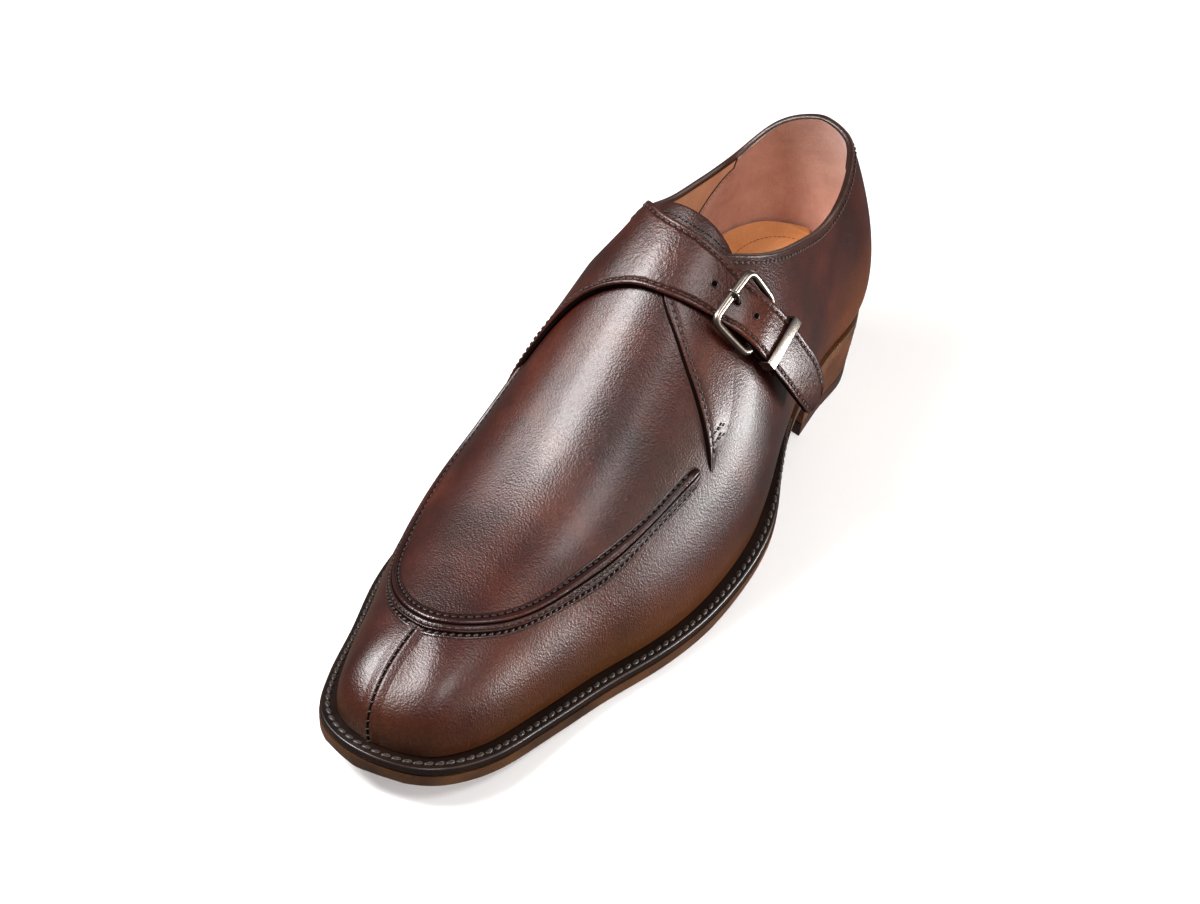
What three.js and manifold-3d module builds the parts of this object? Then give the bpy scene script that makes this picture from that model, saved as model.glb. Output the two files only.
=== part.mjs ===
// A left monk strap shoe for an adult foot, in millimetres.
// Frame: +Z up from the floor, toe towards -Y, outer (buckle) side towards +X.
// "forward" runs from the back of the heel to the toe, and "side" is positive on the outer side.
import * as THREE from "three";
import { mergeVertices } from "three/addons/utils/BufferGeometryUtils.js";
import Module from "manifold-3d";

// Driving sizes
const SOLE_LENGTH = 306;
const HEEL_HEIGHT = 26.5; // floor to the underside of the sole, at the back
const HEEL_SEAT_TILT = 0.035; // the seat drops this much for each millimetre forward
const TOE_SPRING = 10.5;
const SPRING_POWER = 1.8;
const TREAD_BACK = 194; // the forefoot lies flat on the floor from here
const TREAD_FRONT = 226; // to here
const SEAT_END = 82; // the heel seat turns into the waist here
const OUTSOLE = 5;
const WELT = 3;
const WELT_ENDS = 98; // forward place of both ends of the welt
const WELT_THIN_END = 0.25; // share of its thickness there
const WELT_THINS_FROM = 92; // it grows to its full thickness from here
const WELT_THINS_OVER = 26;
const UPPER_RISES_FROM = 68; // the upper's lower edge rises to the welt's top from here
const UPPER_RISES_OVER = 30;
const HEEL_EDGE = 1.5; // the sole's edge stands this far outside the upper at the heel
const WELT_EDGE = 5.8; // and this far round the forefoot
const EDGE_SPREADS = 50; // length over which the one turns into the other
const EDGE_ROUNDING = 0.8;
const ROUNDING_POWER = 6; // keeps the underside flat up to its edges
const WAIST_BEVEL = 2.6; // the waist's underside rises this much to its edges
const BEVEL_STARTS_OVER = 30; // length over which it starts, in front of the heel
const BEVEL_ENDS_OVER = 50; // and fades, behind the tread
const WELT_INSET = 0.3; // the welt's edge lies inside the outsole's
const WELT_ROUNDING = 0.6;
const TOP_PIECE = 6; // the heel's last layer, on the floor
const TOP_SPLIT = 34; // rubber behind, leather in front
const BREAST = 74; // forward place of the heel's front face
const BREAST_HOLLOW = 5;
const HEEL_TAPER = 1.8; // the heel is this much smaller all round at the floor than at the seat
const TOP_PIECE_TAPER = 1.45; // at the joint with the top piece
const MIDDLE_TAPER = 0.65; // half way up
const MIDDLE_BREAST = 75; // the front face leans, and reaches these places half way up
const SEAT_BREAST = 77; // and at the seat
const WALL = 2.2; // upper leather and lining together
const THROAT = 6; // section where the collar's opening ends, under the strap
const INSOLE_GAP = 0.5;
const INSOLE_RISE = 3.2; // insole above the feather line
const INSOLE_DISH = 0.8;
const HEEL_PAD = 11; // the insole's heel pad adds this
const HEEL_PAD_FADES = 60; // from here forward, over HEEL_PAD_RUN
const HEEL_PAD_RUN = 70;
const HEEL_PAD_DISH = 0.2; // share of the pad's height that its middle lies lower
const TONGUE = 1.8;
const TONGUE_GAP = 0.8; // between the tongue and the lining over it
const TONGUE_TOP = 5.18; // sections of its two ends
const TONGUE_FOOT = 7.2;
const TONGUE_GIRTH = 0.42;
const TONGUE_ROUNDING = 0.35; // sections lost at its outer top corner
const TONGUE_ROUNDING_POWER = 4;
const TONGUE_SLANT = 0.45; // and gained towards the inner one
const TONGUE_SLANT_POWER = 1.5;
const TONGUE_TOP_SHARE = 0.3; // both fade out over this share of its length
const STRAP_LEATHER = 2.2;
const BASE_LEATHER = 0.7; // the strap's base is skived to this, over its first stations
const BASE_STATIONS = 1.5;
const TAB = 1.4; // leather that holds the buckle
const TAB_MARGIN = 0.08; // it is narrower than the strap by this share on each side
const BUCKLE_WIDTH = 22; // between the middles of its side bars
const BUCKLE_BAR = 1.5; // radius
const BUCKLE_CORNER = 3.5;
const PRONG = 0.85; // radius
const PRONG_PLAY = 0.5;
const PRONG_OVERHANG = 2;
const PRONG_TIP_THINNER = 0.35; // share of its radius that the prong loses to its tip
const PRONG_TIP_DROP = 0.3;
const PRONG_UNDER_STRAP = 0.5; // it starts this far under the strap
const PRONG_LOOP_PLAY = 0.4; // between its root and the hinge bar, besides the gap
const KEEPER_WIDTH = 4;
const KEEPER_METAL = 1;
const KEEPER_PLAY = 0.4;
const GAP = 0.3; // between pieces that lie face to face
const SAME_POINT = 1e-3;

// Mesh steps
const STEPS = 4; // for each row of the tables
const UPPER_COLUMNS = 12;
const END_ROW = 0.08;
const ACROSS = [-1, -0.93, -0.55, 0, 0.55, 0.93, 1]; // places across the sole
const WELT_STEPS = 36;
const HEEL_STEPS = 14;
const BREAST_STEPS = 8;
const TONGUE_ROWS = 12;
const TONGUE_COLUMNS = 10;
const STRAP_COLUMNS = 4;
const TAB_STEPS = 8;
const CORNER_STEPS = 4;
const BAR_SIDES = 10;
const PRONG_STEPS = 16;

// The last: one row for each section, from the back seam to the toe seam.
// outer and inner place the feather line, where the upper meets the sole. The section's plane
// runs from there to the crest of the last, at crestForward, crestSide and crest.
const LAST = table(
  `name        forward outer inner crestForward crestSide crest
   backSeam         3     0     0           36       0     131
   heelCorner      10    21.5 -21.5         36       0     131
   heelSide        31    32.5 -32           37       0     131
   heelFront       58    33   -31           58       0     133
   waistBack       88    36   -27           88       0     134
   waist          118    42.5 -27          118       0     124
   waistFront     148    50.5 -34          147       0     105
   ballBack       178    49.5 -43.5        174       0      83
   ball           206    44   -48.5        199      -1      65
   ballFront      232    35   -46          221      -2      54
   toeSide        258    28.5 -37          242      -3      47.5
   toeShoulder    281    22.5 -29          257      -4      44
   toeCorner      295.5  12   -20.5        266      -4.5    42
   toeSeam        300    -6.5  -6.5        272      -5      40`,
);

// The walls of the same sections: bulge and rise shape them, crown sets how wide they are at the
// top, and top is the share of the section that leather covers.
const WALLS = table(
  `name        outerBulge innerBulge outerRise innerRise outerCrown innerCrown outerTop innerTop
   backSeam        7          7        30        30       0.60       0.60     0.58     0.58
   heelCorner     12.5        7        30        30       0.34       0.60     0.56     0.53
   heelSide       15          6        31        31       0.11       0.66     0.525    0.425
   heelFront      11          8.5      33        34       0.42       0.78     0.48     0.43
   waistBack       9         16        34        36       0.66       0.90     0.53     0.475
   waist           9         18        34        36       0.68       0.94     0.68     0.66
   waistFront      8         14        32        34       0.60       0.94     1        1
   ballBack        4          9.5      28        30       0.58       0.78     1        1
   ball            2          5        24        26       0.62       0.64     1        1
   ballFront       2          3        20        20       0.66       0.66     1        1
   toeSide         2          2        17        17       0.70       0.70     1        1
   toeShoulder     1          1        15        15       0.74       0.74     1        1
   toeCorner       1          1        14        14       0.76       0.76     1        1
   toeSeam         1          1        13        13       0.78       0.78     1        1`,
);

// The strap, from its base on the inner flank over the instep and through the buckle to its tip.
// rear and front are sections of its two edges, and each lift is that edge's height above the upper.
const STRAP = table(
  `name     rear rearGirth rearLift front frontGirth frontLift
   base      4.78    -0.66   0      6.72      -0.66    0
   flank     4.80    -0.52   0      6.62      -0.52    0
   shoulder  4.92    -0.36   0      6.42      -0.38    0
   rise      5.12    -0.22   0.3    6.25      -0.24    0.3
   crest     5.38    -0.06   0.6    6.17      -0.06    0.6
   outer     5.43     0.09   0.8    6.12       0.09    0.8
   hole      5.43     0.19   0.8    6.00       0.195   0.8
   frontBar  5.40     0.27   1      5.90       0.28    1
   bars      5.36     0.34   3.4    5.85       0.34    3.4
   hinge     5.30     0.40   4.9    5.80       0.40    4.9
   keeper    5.22     0.455  5.2    5.72       0.46    4.4
   hang      5.10     0.55   7.5    5.62       0.545   4.8
   nearTip   4.96     0.64   9.5    5.46       0.645   5.5
   tip       4.90     0.73  10.5    5.20       0.76    6.5`,
);
const FRONT_BAR = 7; // stations along the strap
const PRONG_HOLE = 7.52;
const HINGE_BAR = 9.25;
const KEEPER = 10.3;
const TAB_START = 9.1;
const TAB_END = 11.2;
const FRONT_BAR_HEIGHT = STRAP_LEATHER + GAP + BUCKLE_BAR; // above the strap's underside
const HINGE_BAR_HEIGHT = -GAP - BUCKLE_BAR;

// Whitespace-separated text with a heading row, as a list of rows with named columns.
function table(text) {
  const [names, ...rows] = text.split("\n").map((line) => line.trim().split(/\s+/));
  return rows.map((cells) =>
    Object.fromEntries(cells.map((cell, k) => [names[k], k ? Number(cell) : cell])),
  );
}

const LAST_SECTIONS = LAST.length - 1;

// A column's value between two rows, on a Catmull-Rom curve.
function between(rows, column, at) {
  const low = Math.min(Math.max(Math.floor(at), 0), rows.length - 2);
  const value = (k) => rows[Math.min(Math.max(k, 0), rows.length - 1)][column];
  const [a, b, c, d] = [low - 1, low, low + 1, low + 2].map(value);
  const x = at - low;
  const bend = 2 * a - 5 * b + 4 * c - d;
  return 0.5 * (2 * b + (c - a) * x + bend * x * x + (3 * (b - c) + d - a) * x ** 3);
}

const smoothStep = (x) => THREE.MathUtils.smoothstep(x, 0, 1);

// Height of the sole's underside above the floor.
function underside(forward) {
  const seat = HEEL_HEIGHT - HEEL_SEAT_TILT * Math.min(forward, SEAT_END);
  if (forward <= SEAT_END) return seat;
  if (forward >= TREAD_FRONT) {
    const share = (forward - TREAD_FRONT) / (SOLE_LENGTH - TREAD_FRONT);
    return TOE_SPRING * share ** SPRING_POWER;
  }
  if (forward >= TREAD_BACK) return 0;
  const run = TREAD_BACK - SEAT_END;
  const x = (forward - SEAT_END) / run;
  const falls = 1 - 3 * x * x + 2 * x ** 3;
  const leaves = x - 2 * x * x + x ** 3;
  return seat * falls - HEEL_SEAT_TILT * run * leaves;
}

// The welt fades out into the waist.
function weltAt(forward) {
  const full = smoothStep((forward - WELT_THINS_FROM) / WELT_THINS_OVER);
  return WELT * THREE.MathUtils.lerp(WELT_THIN_END, 1, full);
}

const sole = (forward) => underside(forward) + OUTSOLE;

function featherHeight(forward) {
  const welted = GAP + weltAt(Math.max(forward, WELT_ENDS));
  const rises = smoothStep((forward - UPPER_RISES_FROM) / UPPER_RISES_OVER);
  return sole(forward) + GAP + welted * rises;
}

// The feather line as one closed curve, from the back seam round the outer side.
const feather = new THREE.CatmullRomCurve3(
  [
    ...LAST.map((row) => new THREE.Vector3(row.outer, row.forward, 0)),
    ...LAST.slice(1, -1).reverse().map((row) => new THREE.Vector3(row.inner, row.forward, 0)),
  ],
  true,
  "centripetal",
);

const crestLine = new THREE.CatmullRomCurve3(
  LAST.map((row) => new THREE.Vector3(row.crestSide, row.crestForward, row.crest)),
  false,
  "centripetal",
);

// Share of the closed feather curve at a section, on the outer (1) or the inner (-1) side.
function featherShare(section, side) {
  const half = section / (2 * LAST_SECTIONS);
  return side > 0 ? half : (1 - half) % 1;
}

function featherPoint(section, side) {
  const p = feather.getPoint(featherShare(section, side));
  return { side: p.x, forward: p.y };
}

// Unit vector in plan, away from the shoe.
function featherNormal(section, side) {
  const share = featherShare(section, side);
  const step = 1e-4;
  const a = feather.getPoint((share + 1 - step) % 1);
  const b = feather.getPoint((share + step) % 1);
  return new THREE.Vector2(b.y - a.y, a.x - b.x).normalize();
}

const sideOf = (girth) => (girth < 0 ? "inner" : "outer");

// A point of the last. girth is 1 at the outer feather line, 0 on the crest and -1 at the inner one.
function lastPoint(section, girth) {
  const side = girth < 0 ? -1 : 1;
  const foot = featherPoint(section, side);
  const top = crestLine.getPoint(section / LAST_SECTIONS);
  const out = new THREE.Vector2(foot.side - top.x, foot.forward - top.y);
  const reach = out.length();
  out.normalize();
  const column = (name) => between(WALLS, sideOf(girth) + name, section);
  const crown = column("Crown") * reach;
  const footHeight = featherHeight(foot.forward);
  const fallAtCrest = crestSlope(section) * out.y * crown;
  const curve = new THREE.CubicBezierCurve(
    new THREE.Vector2(reach, footHeight),
    new THREE.Vector2(reach + column("Bulge"), footHeight + column("Rise")),
    new THREE.Vector2(crown, top.z + fallAtCrest),
    new THREE.Vector2(0, top.z),
  );
  const p = curve.getPoint(1 - Math.abs(girth));
  return new THREE.Vector3(top.x + out.x * p.x, top.y + out.y * p.x, p.y);
}

function crestSlope(section) {
  const step = 0.02;
  const a = crestLine.getPoint(Math.max(section - step, 0) / LAST_SECTIONS);
  const b = crestLine.getPoint(Math.min(section + step, LAST_SECTIONS) / LAST_SECTIONS);
  return Math.abs(b.y - a.y) < 1e-3 ? 0 : (b.z - a.z) / (b.y - a.y);
}

// How the last runs at a point: along the sections, across the girth, and straight out of it.
function lastFrame(section, girth) {
  const step = 1e-3;
  const s = Math.min(Math.max(section, step), LAST_SECTIONS - step);
  const g = Math.abs(girth) < step ? step : girth;
  const along = lastPoint(s + step, g).sub(lastPoint(s - step, g)).divideScalar(2 * step);
  const across = lastPoint(s, g + step).sub(lastPoint(s, g - step)).divideScalar(2 * step);
  return { along, across, out: across.clone().cross(along).normalize() };
}

function outward(section, girth) {
  if (Math.abs(girth) > 1e-3) return lastFrame(section, girth).out;
  const outer = lastFrame(section, 2e-3).out;
  const inner = lastFrame(section, -2e-3).out;
  return outer.add(inner).normalize();
}

// The last grown by a distance: 0 is the upper's outer face, and minus WALL its lining.
function grown(section, girth, by) {
  return lastPoint(section, girth).addScaledVector(outward(section, girth), by);
}

// A closed body between two grids of points with the same rows and columns. wrap joins the last
// row to the first, and hasRim tells for each row whether the last column has a rim of its own.
function slab(upperGrid, lowerGrid, { wrap = false, hasRim = () => true } = {}) {
  const corners = [];
  const quad = (a, b, c, d) => corners.push(a, b, c, a, c, d);
  const rows = upperGrid.length;
  const last = upperGrid[0].length - 1;
  for (let i = 0; i < (wrap ? rows : rows - 1); i++) {
    const next = (i + 1) % rows;
    for (let j = 0; j < last; j++) {
      quad(upperGrid[i][j], upperGrid[next][j], upperGrid[next][j + 1], upperGrid[i][j + 1]);
      quad(lowerGrid[i][j], lowerGrid[i][j + 1], lowerGrid[next][j + 1], lowerGrid[next][j]);
    }
    quad(upperGrid[i][0], lowerGrid[i][0], lowerGrid[next][0], upperGrid[next][0]);
    if (hasRim(i)) {
      quad(upperGrid[i][last], upperGrid[next][last], lowerGrid[next][last], lowerGrid[i][last]);
    }
  }
  if (!wrap) {
    for (let j = 0; j < last; j++) {
      const end = rows - 1;
      quad(upperGrid[0][j], upperGrid[0][j + 1], lowerGrid[0][j + 1], lowerGrid[0][j]);
      quad(upperGrid[end][j], lowerGrid[end][j], lowerGrid[end][j + 1], upperGrid[end][j + 1]);
    }
  }
  return body(corners);
}

// A closed body through a list of rings. looped joins the last ring to the first;
// otherwise flat ends, shaped by their plan, close it.
function loft(rings, { looped = false, plan = (p) => new THREE.Vector2(p.x, p.y) } = {}) {
  const corners = [];
  const count = rings[0].length;
  for (let i = 0; i < (looped ? rings.length : rings.length - 1); i++) {
    const next = (i + 1) % rings.length;
    for (let j = 0; j < count; j++) {
      const k = (j + 1) % count;
      corners.push(rings[i][j], rings[next][j], rings[next][k]);
      corners.push(rings[i][j], rings[next][k], rings[i][k]);
    }
  }
  if (!looped) {
    const faces = THREE.ShapeUtils.triangulateShape(rings[0].map(plan), []);
    const turns = THREE.ShapeUtils.area(rings[0].map(plan)) > 0;
    const first = rings[0];
    const end = rings[rings.length - 1];
    for (const [a, b, c] of faces) {
      corners.push(first[a], first[turns ? b : c], first[turns ? c : b]);
      corners.push(end[a], end[turns ? c : b], end[turns ? b : c]);
    }
  }
  return body(corners);
}

// Triangle corners as a geometry that faces outwards, without triangles that have shrunk to a line.
function body(corners) {
  const kept = [];
  let volume = 0;
  for (let i = 0; i < corners.length; i += 3) {
    const [a, b, c] = corners.slice(i, i + 3);
    const shortest = Math.min(a.distanceTo(b), b.distanceTo(c), c.distanceTo(a));
    if (shortest < SAME_POINT) continue;
    kept.push([a, b, c]);
    volume += a.dot(b.clone().cross(c));
  }
  const flat = kept.flatMap(([a, b, c]) => (toWorldTurns(volume) ? [a, b, c] : [a, c, b]));
  const geometry = new THREE.BufferGeometry();
  const places = flat.flatMap((p) => [p.x, -p.y, p.z]);
  geometry.setAttribute("position", new THREE.Float32BufferAttribute(places, 3));
  geometry.computeVertexNormals();
  return geometry;
}

// Forward runs against +Y, so the corners change hands on the way to the part's frame.
const toWorldTurns = (volume) => volume < 0;

const range = (count) => Array.from({ length: count + 1 }, (_, k) => k / count);

// How far the sole's edge stands outside the feather line.
function soleEdge(forward) {
  return HEEL_EDGE + (WELT_EDGE - HEEL_EDGE) * smoothStep((forward - WELT_ENDS) / EDGE_SPREADS);
}

// A point beside the feather line, in plan.
function besideFeather(section, side, by) {
  const p = featherPoint(section, side);
  const n = featherNormal(section, side);
  return new THREE.Vector2(p.side + n.x * by, p.forward + n.y * by);
}

const soleOutline = (section, side) =>
  besideFeather(section, side, soleEdge(featherPoint(section, side).forward));

// Rows of points across the shoe between its inner and outer outlines, with a short straight row
// at the back and at the toe.
function acrossGrid(outline, columns, height) {
  return range(LAST_SECTIONS * STEPS).map((share) => {
    const section = THREE.MathUtils.clamp(share * LAST_SECTIONS, END_ROW, LAST_SECTIONS - END_ROW);
    const inner = outline(section, -1);
    const outer = outline(section, 1);
    return columns.map((u) => {
      const p = inner.clone().lerp(outer, (u + 1) / 2);
      return new THREE.Vector3(p.x, p.y, height(p.y, u));
    });
  });
}

function makeUpper() {
  const half = range(LAST_SECTIONS * STEPS).map((share) => share * LAST_SECTIONS);
  const rows = [
    ...half.map((section) => ({ section, side: 1 })),
    ...half.slice(1, -1).reverse().map((section) => ({ section, side: -1 })),
  ];
  const covered = (section, side) =>
    section >= THROAT ? 1 : Math.min(1, between(WALLS, sideOf(side) + "Top", section));
  const face = (by) =>
    rows.map(({ section, side }) =>
      range(UPPER_COLUMNS).map((share) => {
        const girth = 1 - share * covered(section, side);
        const p = grown(section, girth === 0 ? 0 : girth * side, by);
        if (share === 0) p.z = featherHeight(featherPoint(section, side).forward);
        return p;
      }),
    );
  const open = ({ section }) => section < THROAT;
  const hasRim = (row) => open(rows[row]) || open(rows[(row + 1) % rows.length]);
  return slab(face(0), face(-WALL), { wrap: true, hasRim });
}

function makeTongue() {
  const face = (by) =>
    range(TONGUE_ROWS).map((along) => {
      const section = TONGUE_TOP + (TONGUE_FOOT - TONGUE_TOP) * along;
      return range(TONGUE_COLUMNS).map((share) => {
        const u = 2 * share - 1;
        const moved = u < 0
          ? -TONGUE_SLANT * (-u) ** TONGUE_SLANT_POWER
          : TONGUE_ROUNDING * u ** TONGUE_ROUNDING_POWER;
        const fades = 1 - smoothStep(along / TONGUE_TOP_SHARE);
        return grown(section + moved * fades, u * TONGUE_GIRTH, by);
      });
    });
  const top = -WALL - TONGUE_GAP;
  return slab(face(top), face(top - TONGUE));
}

function makeInsole() {
  const outline = (section, side) => besideFeather(section, side, -WALL - INSOLE_GAP);
  const foot = acrossGrid(outline, ACROSS, (forward) => sole(forward) + GAP);
  const pad = (forward) => HEEL_PAD * (1 - smoothStep((forward - HEEL_PAD_FADES) / HEEL_PAD_RUN));
  const dish = (forward) => INSOLE_DISH + pad(forward) * HEEL_PAD_DISH;
  const bed = acrossGrid(outline, ACROSS, (forward, u) =>
    featherHeight(forward) + INSOLE_RISE + pad(forward) - dish(forward) * (1 - u * u));
  return slab(bed, foot);
}

function makeOutsole() {
  const lift = (forward, u) => {
    const starts = smoothStep((forward - SEAT_END) / BEVEL_STARTS_OVER);
    const ends = smoothStep((TREAD_BACK - forward) / BEVEL_ENDS_OVER);
    return u ** ROUNDING_POWER * THREE.MathUtils.lerp(EDGE_ROUNDING, WAIST_BEVEL, starts * ends);
  };
  const bottom = (forward, u) => underside(forward) + (forward < SEAT_END ? 0 : lift(forward, u));
  return slab(acrossGrid(soleOutline, ACROSS, sole), acrossGrid(soleOutline, ACROSS, bottom));
}

// The welt runs round the forefoot, from the inner waist to the outer one.
function makeWelt() {
  const first = sectionAt(WELT_ENDS);
  const run = LAST_SECTIONS - first;
  const sections = range(WELT_STEPS).map((share) => first + run * share);
  const stations = [
    ...sections.map((section) => ({ section, side: 1 })),
    ...sections.slice(0, -1).reverse().map((section) => ({ section, side: -1 })),
  ];
  const rings = stations.map(({ section, side }) => {
    const inside = besideFeather(section, side, -WALL);
    const edge = soleOutline(section, side);
    const outside = edge.clone().lerp(inside, WELT_INSET / edge.distanceTo(inside));
    const shoulder = outside.clone().lerp(inside, WELT_ROUNDING / outside.distanceTo(inside));
    const low = (p) => new THREE.Vector3(p.x, p.y, sole(p.y) + GAP);
    const high = (p, drop) => new THREE.Vector3(p.x, p.y, sole(p.y) + GAP + weltAt(p.y) - drop);
    return [
      low(inside),
      low(outside),
      high(outside, WELT_ROUNDING),
      high(shoulder, 0),
      high(inside, 0),
    ];
  });
  return loft(rings, { plan: (p) => new THREE.Vector2(p.x, p.z) });
}

// The section whose outer feather point lies this far forward.
function sectionAt(forward) {
  let low = 0;
  let high = LAST_SECTIONS;
  while (high - low > 1e-6) {
    const middle = (low + high) / 2;
    if (featherPoint(middle, 1).forward < forward) low = middle;
    else high = middle;
  }
  return low;
}

// The heel's outline at a height, between two places along the shoe. Its front hollows backwards.
function heelRing(back, front, hollow, height, taper) {
  const inset = (section, side) => besideFeather(section, side, HEEL_EDGE - taper);
  const start = back > 0 ? sectionAt(back) : 0;
  const end = sectionAt(front);
  const sections = range(HEEL_STEPS).map((share) => start + (end - start) * share);
  const outer = sections.map((section) => inset(section, 1));
  const inner = sections.map((section) => inset(section, -1));
  const outerFront = outer[outer.length - 1];
  const innerFront = inner[inner.length - 1];
  innerFront.y = outerFront.y;
  const breast = range(BREAST_STEPS).slice(1, -1).map((share) => {
    const p = outerFront.clone().lerp(innerFront, share);
    p.y -= hollow * 4 * share * (1 - share);
    return p;
  });
  const backEdge = start > 0 ? inner.slice() : inner.slice(1);
  if (start > 0) backEdge[0].y = outer[0].y;
  const loop = [...outer, ...breast, ...backEdge.reverse()];
  return loop.map((p) => new THREE.Vector3(p.x, p.y, height(p.y)));
}

function makeHeelStack() {
  const top = (forward) => underside(forward) - GAP;
  return loft([
    heelRing(0, BREAST, BREAST_HOLLOW, () => TOP_PIECE + GAP, TOP_PIECE_TAPER),
    heelRing(0, MIDDLE_BREAST, BREAST_HOLLOW, () => (TOP_PIECE + HEEL_HEIGHT) / 2, MIDDLE_TAPER),
    heelRing(0, SEAT_BREAST, BREAST_HOLLOW, top, 0),
  ]);
}

function makeTopPiece(back, front, hollow) {
  return loft([
    heelRing(back, front, hollow, () => 0, HEEL_TAPER),
    heelRing(back, front, hollow, () => TOP_PIECE, TOP_PIECE_TAPER),
  ]);
}

// A point of the strap: station runs along STRAP's rows, across from its rear (0) to its front
// edge (1), and by is the distance above the strap's underside.
function strapPoint(station, across, by) {
  const column = (name) => between(STRAP, name, station);
  const section = THREE.MathUtils.lerp(column("rear"), column("front"), across);
  const girth = THREE.MathUtils.lerp(column("rearGirth"), column("frontGirth"), across);
  const lift = THREE.MathUtils.lerp(column("rearLift"), column("frontLift"), across);
  return grown(section, girth, GAP + lift + by);
}

function makeStrap() {
  const stations = range((STRAP.length - 1) * STEPS).map((share) => share * (STRAP.length - 1));
  const thickness = (station) =>
    BASE_LEATHER + (STRAP_LEATHER - BASE_LEATHER) * smoothStep(station / BASE_STATIONS);
  const top = stations.map((station) =>
    range(STRAP_COLUMNS).map((across) => strapPoint(station, across, thickness(station))));
  const bottom = stations.map((station) =>
    range(STRAP_COLUMNS).map((across) => strapPoint(station, across, 0)));
  return slab(top, bottom);
}

function makeBuckleTab() {
  const face = (by) =>
    range(TAB_STEPS).map((share) => {
      const station = TAB_START + (TAB_END - TAB_START) * share;
      return range(2).map((across) => {
        const u = TAB_MARGIN + (1 - 2 * TAB_MARGIN) * across;
        const lift = THREE.MathUtils.lerp(
          between(STRAP, "rearLift", station), between(STRAP, "frontLift", station), u);
        return strapPoint(station, u, 0).addScaledVector(strapFrame(station).out, by - lift);
      });
    });
  return slab(face(TAB), face(0));
}

// The strap's own directions at a station: along it towards the tip, across it to the front, and out.
function strapFrame(station) {
  const centre = strapPoint(station, 0.5, 0);
  const along = strapPoint(station + 0.05, 0.5, 0).sub(strapPoint(station - 0.05, 0.5, 0)).normalize();
  const across = strapPoint(station, 1, 0).sub(strapPoint(station, 0, 0)).normalize();
  const out = across.clone().cross(along).normalize();
  if (out.dot(outward(between(STRAP, "rear", station), between(STRAP, "rearGirth", station))) < 0) {
    out.negate();
  }
  return { centre, along, across: out.clone().cross(along).normalize(), out };
}

function beside(station, across, out, along = 0) {
  const frame = strapFrame(station);
  const sign = Math.sign(frame.across.dot(strapPoint(station, 1, 0).sub(strapPoint(station, 0, 0))));
  return frame.centre.clone()
    .addScaledVector(frame.across, across * sign)
    .addScaledVector(frame.out, out)
    .addScaledVector(frame.along, along);
}

// A round bar along a path of points, with a radius for each.
function rod(points, radii, sides, looped = false) {
  const count = points.length;
  const at = (k) => points[looped ? (k + count) % count : Math.min(Math.max(k, 0), count - 1)];
  const steady = strapFrame(FRONT_BAR).out;
  const rings = points.map((p, k) => {
    const along = at(k + 1).clone().sub(at(k - 1)).normalize();
    const u = steady.clone().addScaledVector(along, -steady.dot(along)).normalize();
    const v = along.clone().cross(u);
    return range(sides).slice(0, -1).map((turn) => {
      const angle = turn * 2 * Math.PI;
      return p.clone()
        .addScaledVector(u, Math.cos(angle) * radii[k])
        .addScaledVector(v, Math.sin(angle) * radii[k]);
    });
  });
  const first = points[1].clone().sub(points[0]).normalize();
  return loft(rings, { looped, plan: planAcross(first, steady) });
}

function planAcross(along, steady) {
  const u = steady.clone().addScaledVector(along, -steady.dot(along)).normalize();
  const v = along.clone().cross(u);
  return (p) => new THREE.Vector2(p.dot(u), p.dot(v));
}

function makeBuckleFrame() {
  const halfWidth = BUCKLE_WIDTH / 2;
  const corners = [
    beside(FRONT_BAR, halfWidth, FRONT_BAR_HEIGHT),
    beside(FRONT_BAR, -halfWidth, FRONT_BAR_HEIGHT),
    beside(HINGE_BAR, -halfWidth, HINGE_BAR_HEIGHT),
    beside(HINGE_BAR, halfWidth, HINGE_BAR_HEIGHT),
  ];
  const points = corners.flatMap((corner, k) => {
    const before = corners[(k + 3) % 4];
    const after = corners[(k + 1) % 4];
    const from = corner.clone().lerp(before, BUCKLE_CORNER / corner.distanceTo(before));
    const to = corner.clone().lerp(after, BUCKLE_CORNER / corner.distanceTo(after));
    return new THREE.QuadraticBezierCurve3(from, corner, to).getPoints(CORNER_STEPS);
  });
  return rod(points, points.map(() => BUCKLE_BAR), BAR_SIDES, true);
}

// play makes the prong thicker, to cut its hole in the strap.
function makeProng(play) {
  const root = -BUCKLE_BAR - GAP - PRONG - PRONG_LOOP_PLAY;
  const overBar = FRONT_BAR_HEIGHT + BUCKLE_BAR + GAP + PRONG;
  const path = new THREE.CatmullRomCurve3([
    beside(HINGE_BAR, 0, HINGE_BAR_HEIGHT - PRONG_UNDER_STRAP, root),
    beside((HINGE_BAR + PRONG_HOLE) / 2, 0, -PRONG - PRONG_UNDER_STRAP),
    beside(PRONG_HOLE, 0, STRAP_LEATHER / 2),
    beside(FRONT_BAR, 0, overBar + 2 * GAP, PRONG),
    beside(FRONT_BAR, 0, overBar - PRONG_TIP_DROP, -PRONG_OVERHANG),
  ]);
  const points = path.getPoints(PRONG_STEPS);
  const radii = range(PRONG_STEPS).map((share) => play + PRONG * (1 - PRONG_TIP_THINNER * share ** 2));
  return rod(points, radii, BAR_SIDES);
}

// A flat metal band round the strap.
function makeKeeper() {
  const width = strapPoint(KEEPER, 1, 0).distanceTo(strapPoint(KEEPER, 0, 0)) / 2 + KEEPER_PLAY;
  const ring = (grow, along) => {
    const [w, low, high] = [width + grow, -KEEPER_PLAY - grow, STRAP_LEATHER + KEEPER_PLAY + grow];
    const corners = [[-w, low], [w, low], [w, high], [-w, high]];
    return corners.map(([across, out]) => beside(KEEPER, across, out, along));
  };
  const half = KEEPER_WIDTH / 2;
  const rings = [ring(0, -half), ring(KEEPER_METAL, -half), ring(KEEPER_METAL, half), ring(0, half)];
  return loft(rings, { looped: true });
}

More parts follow.
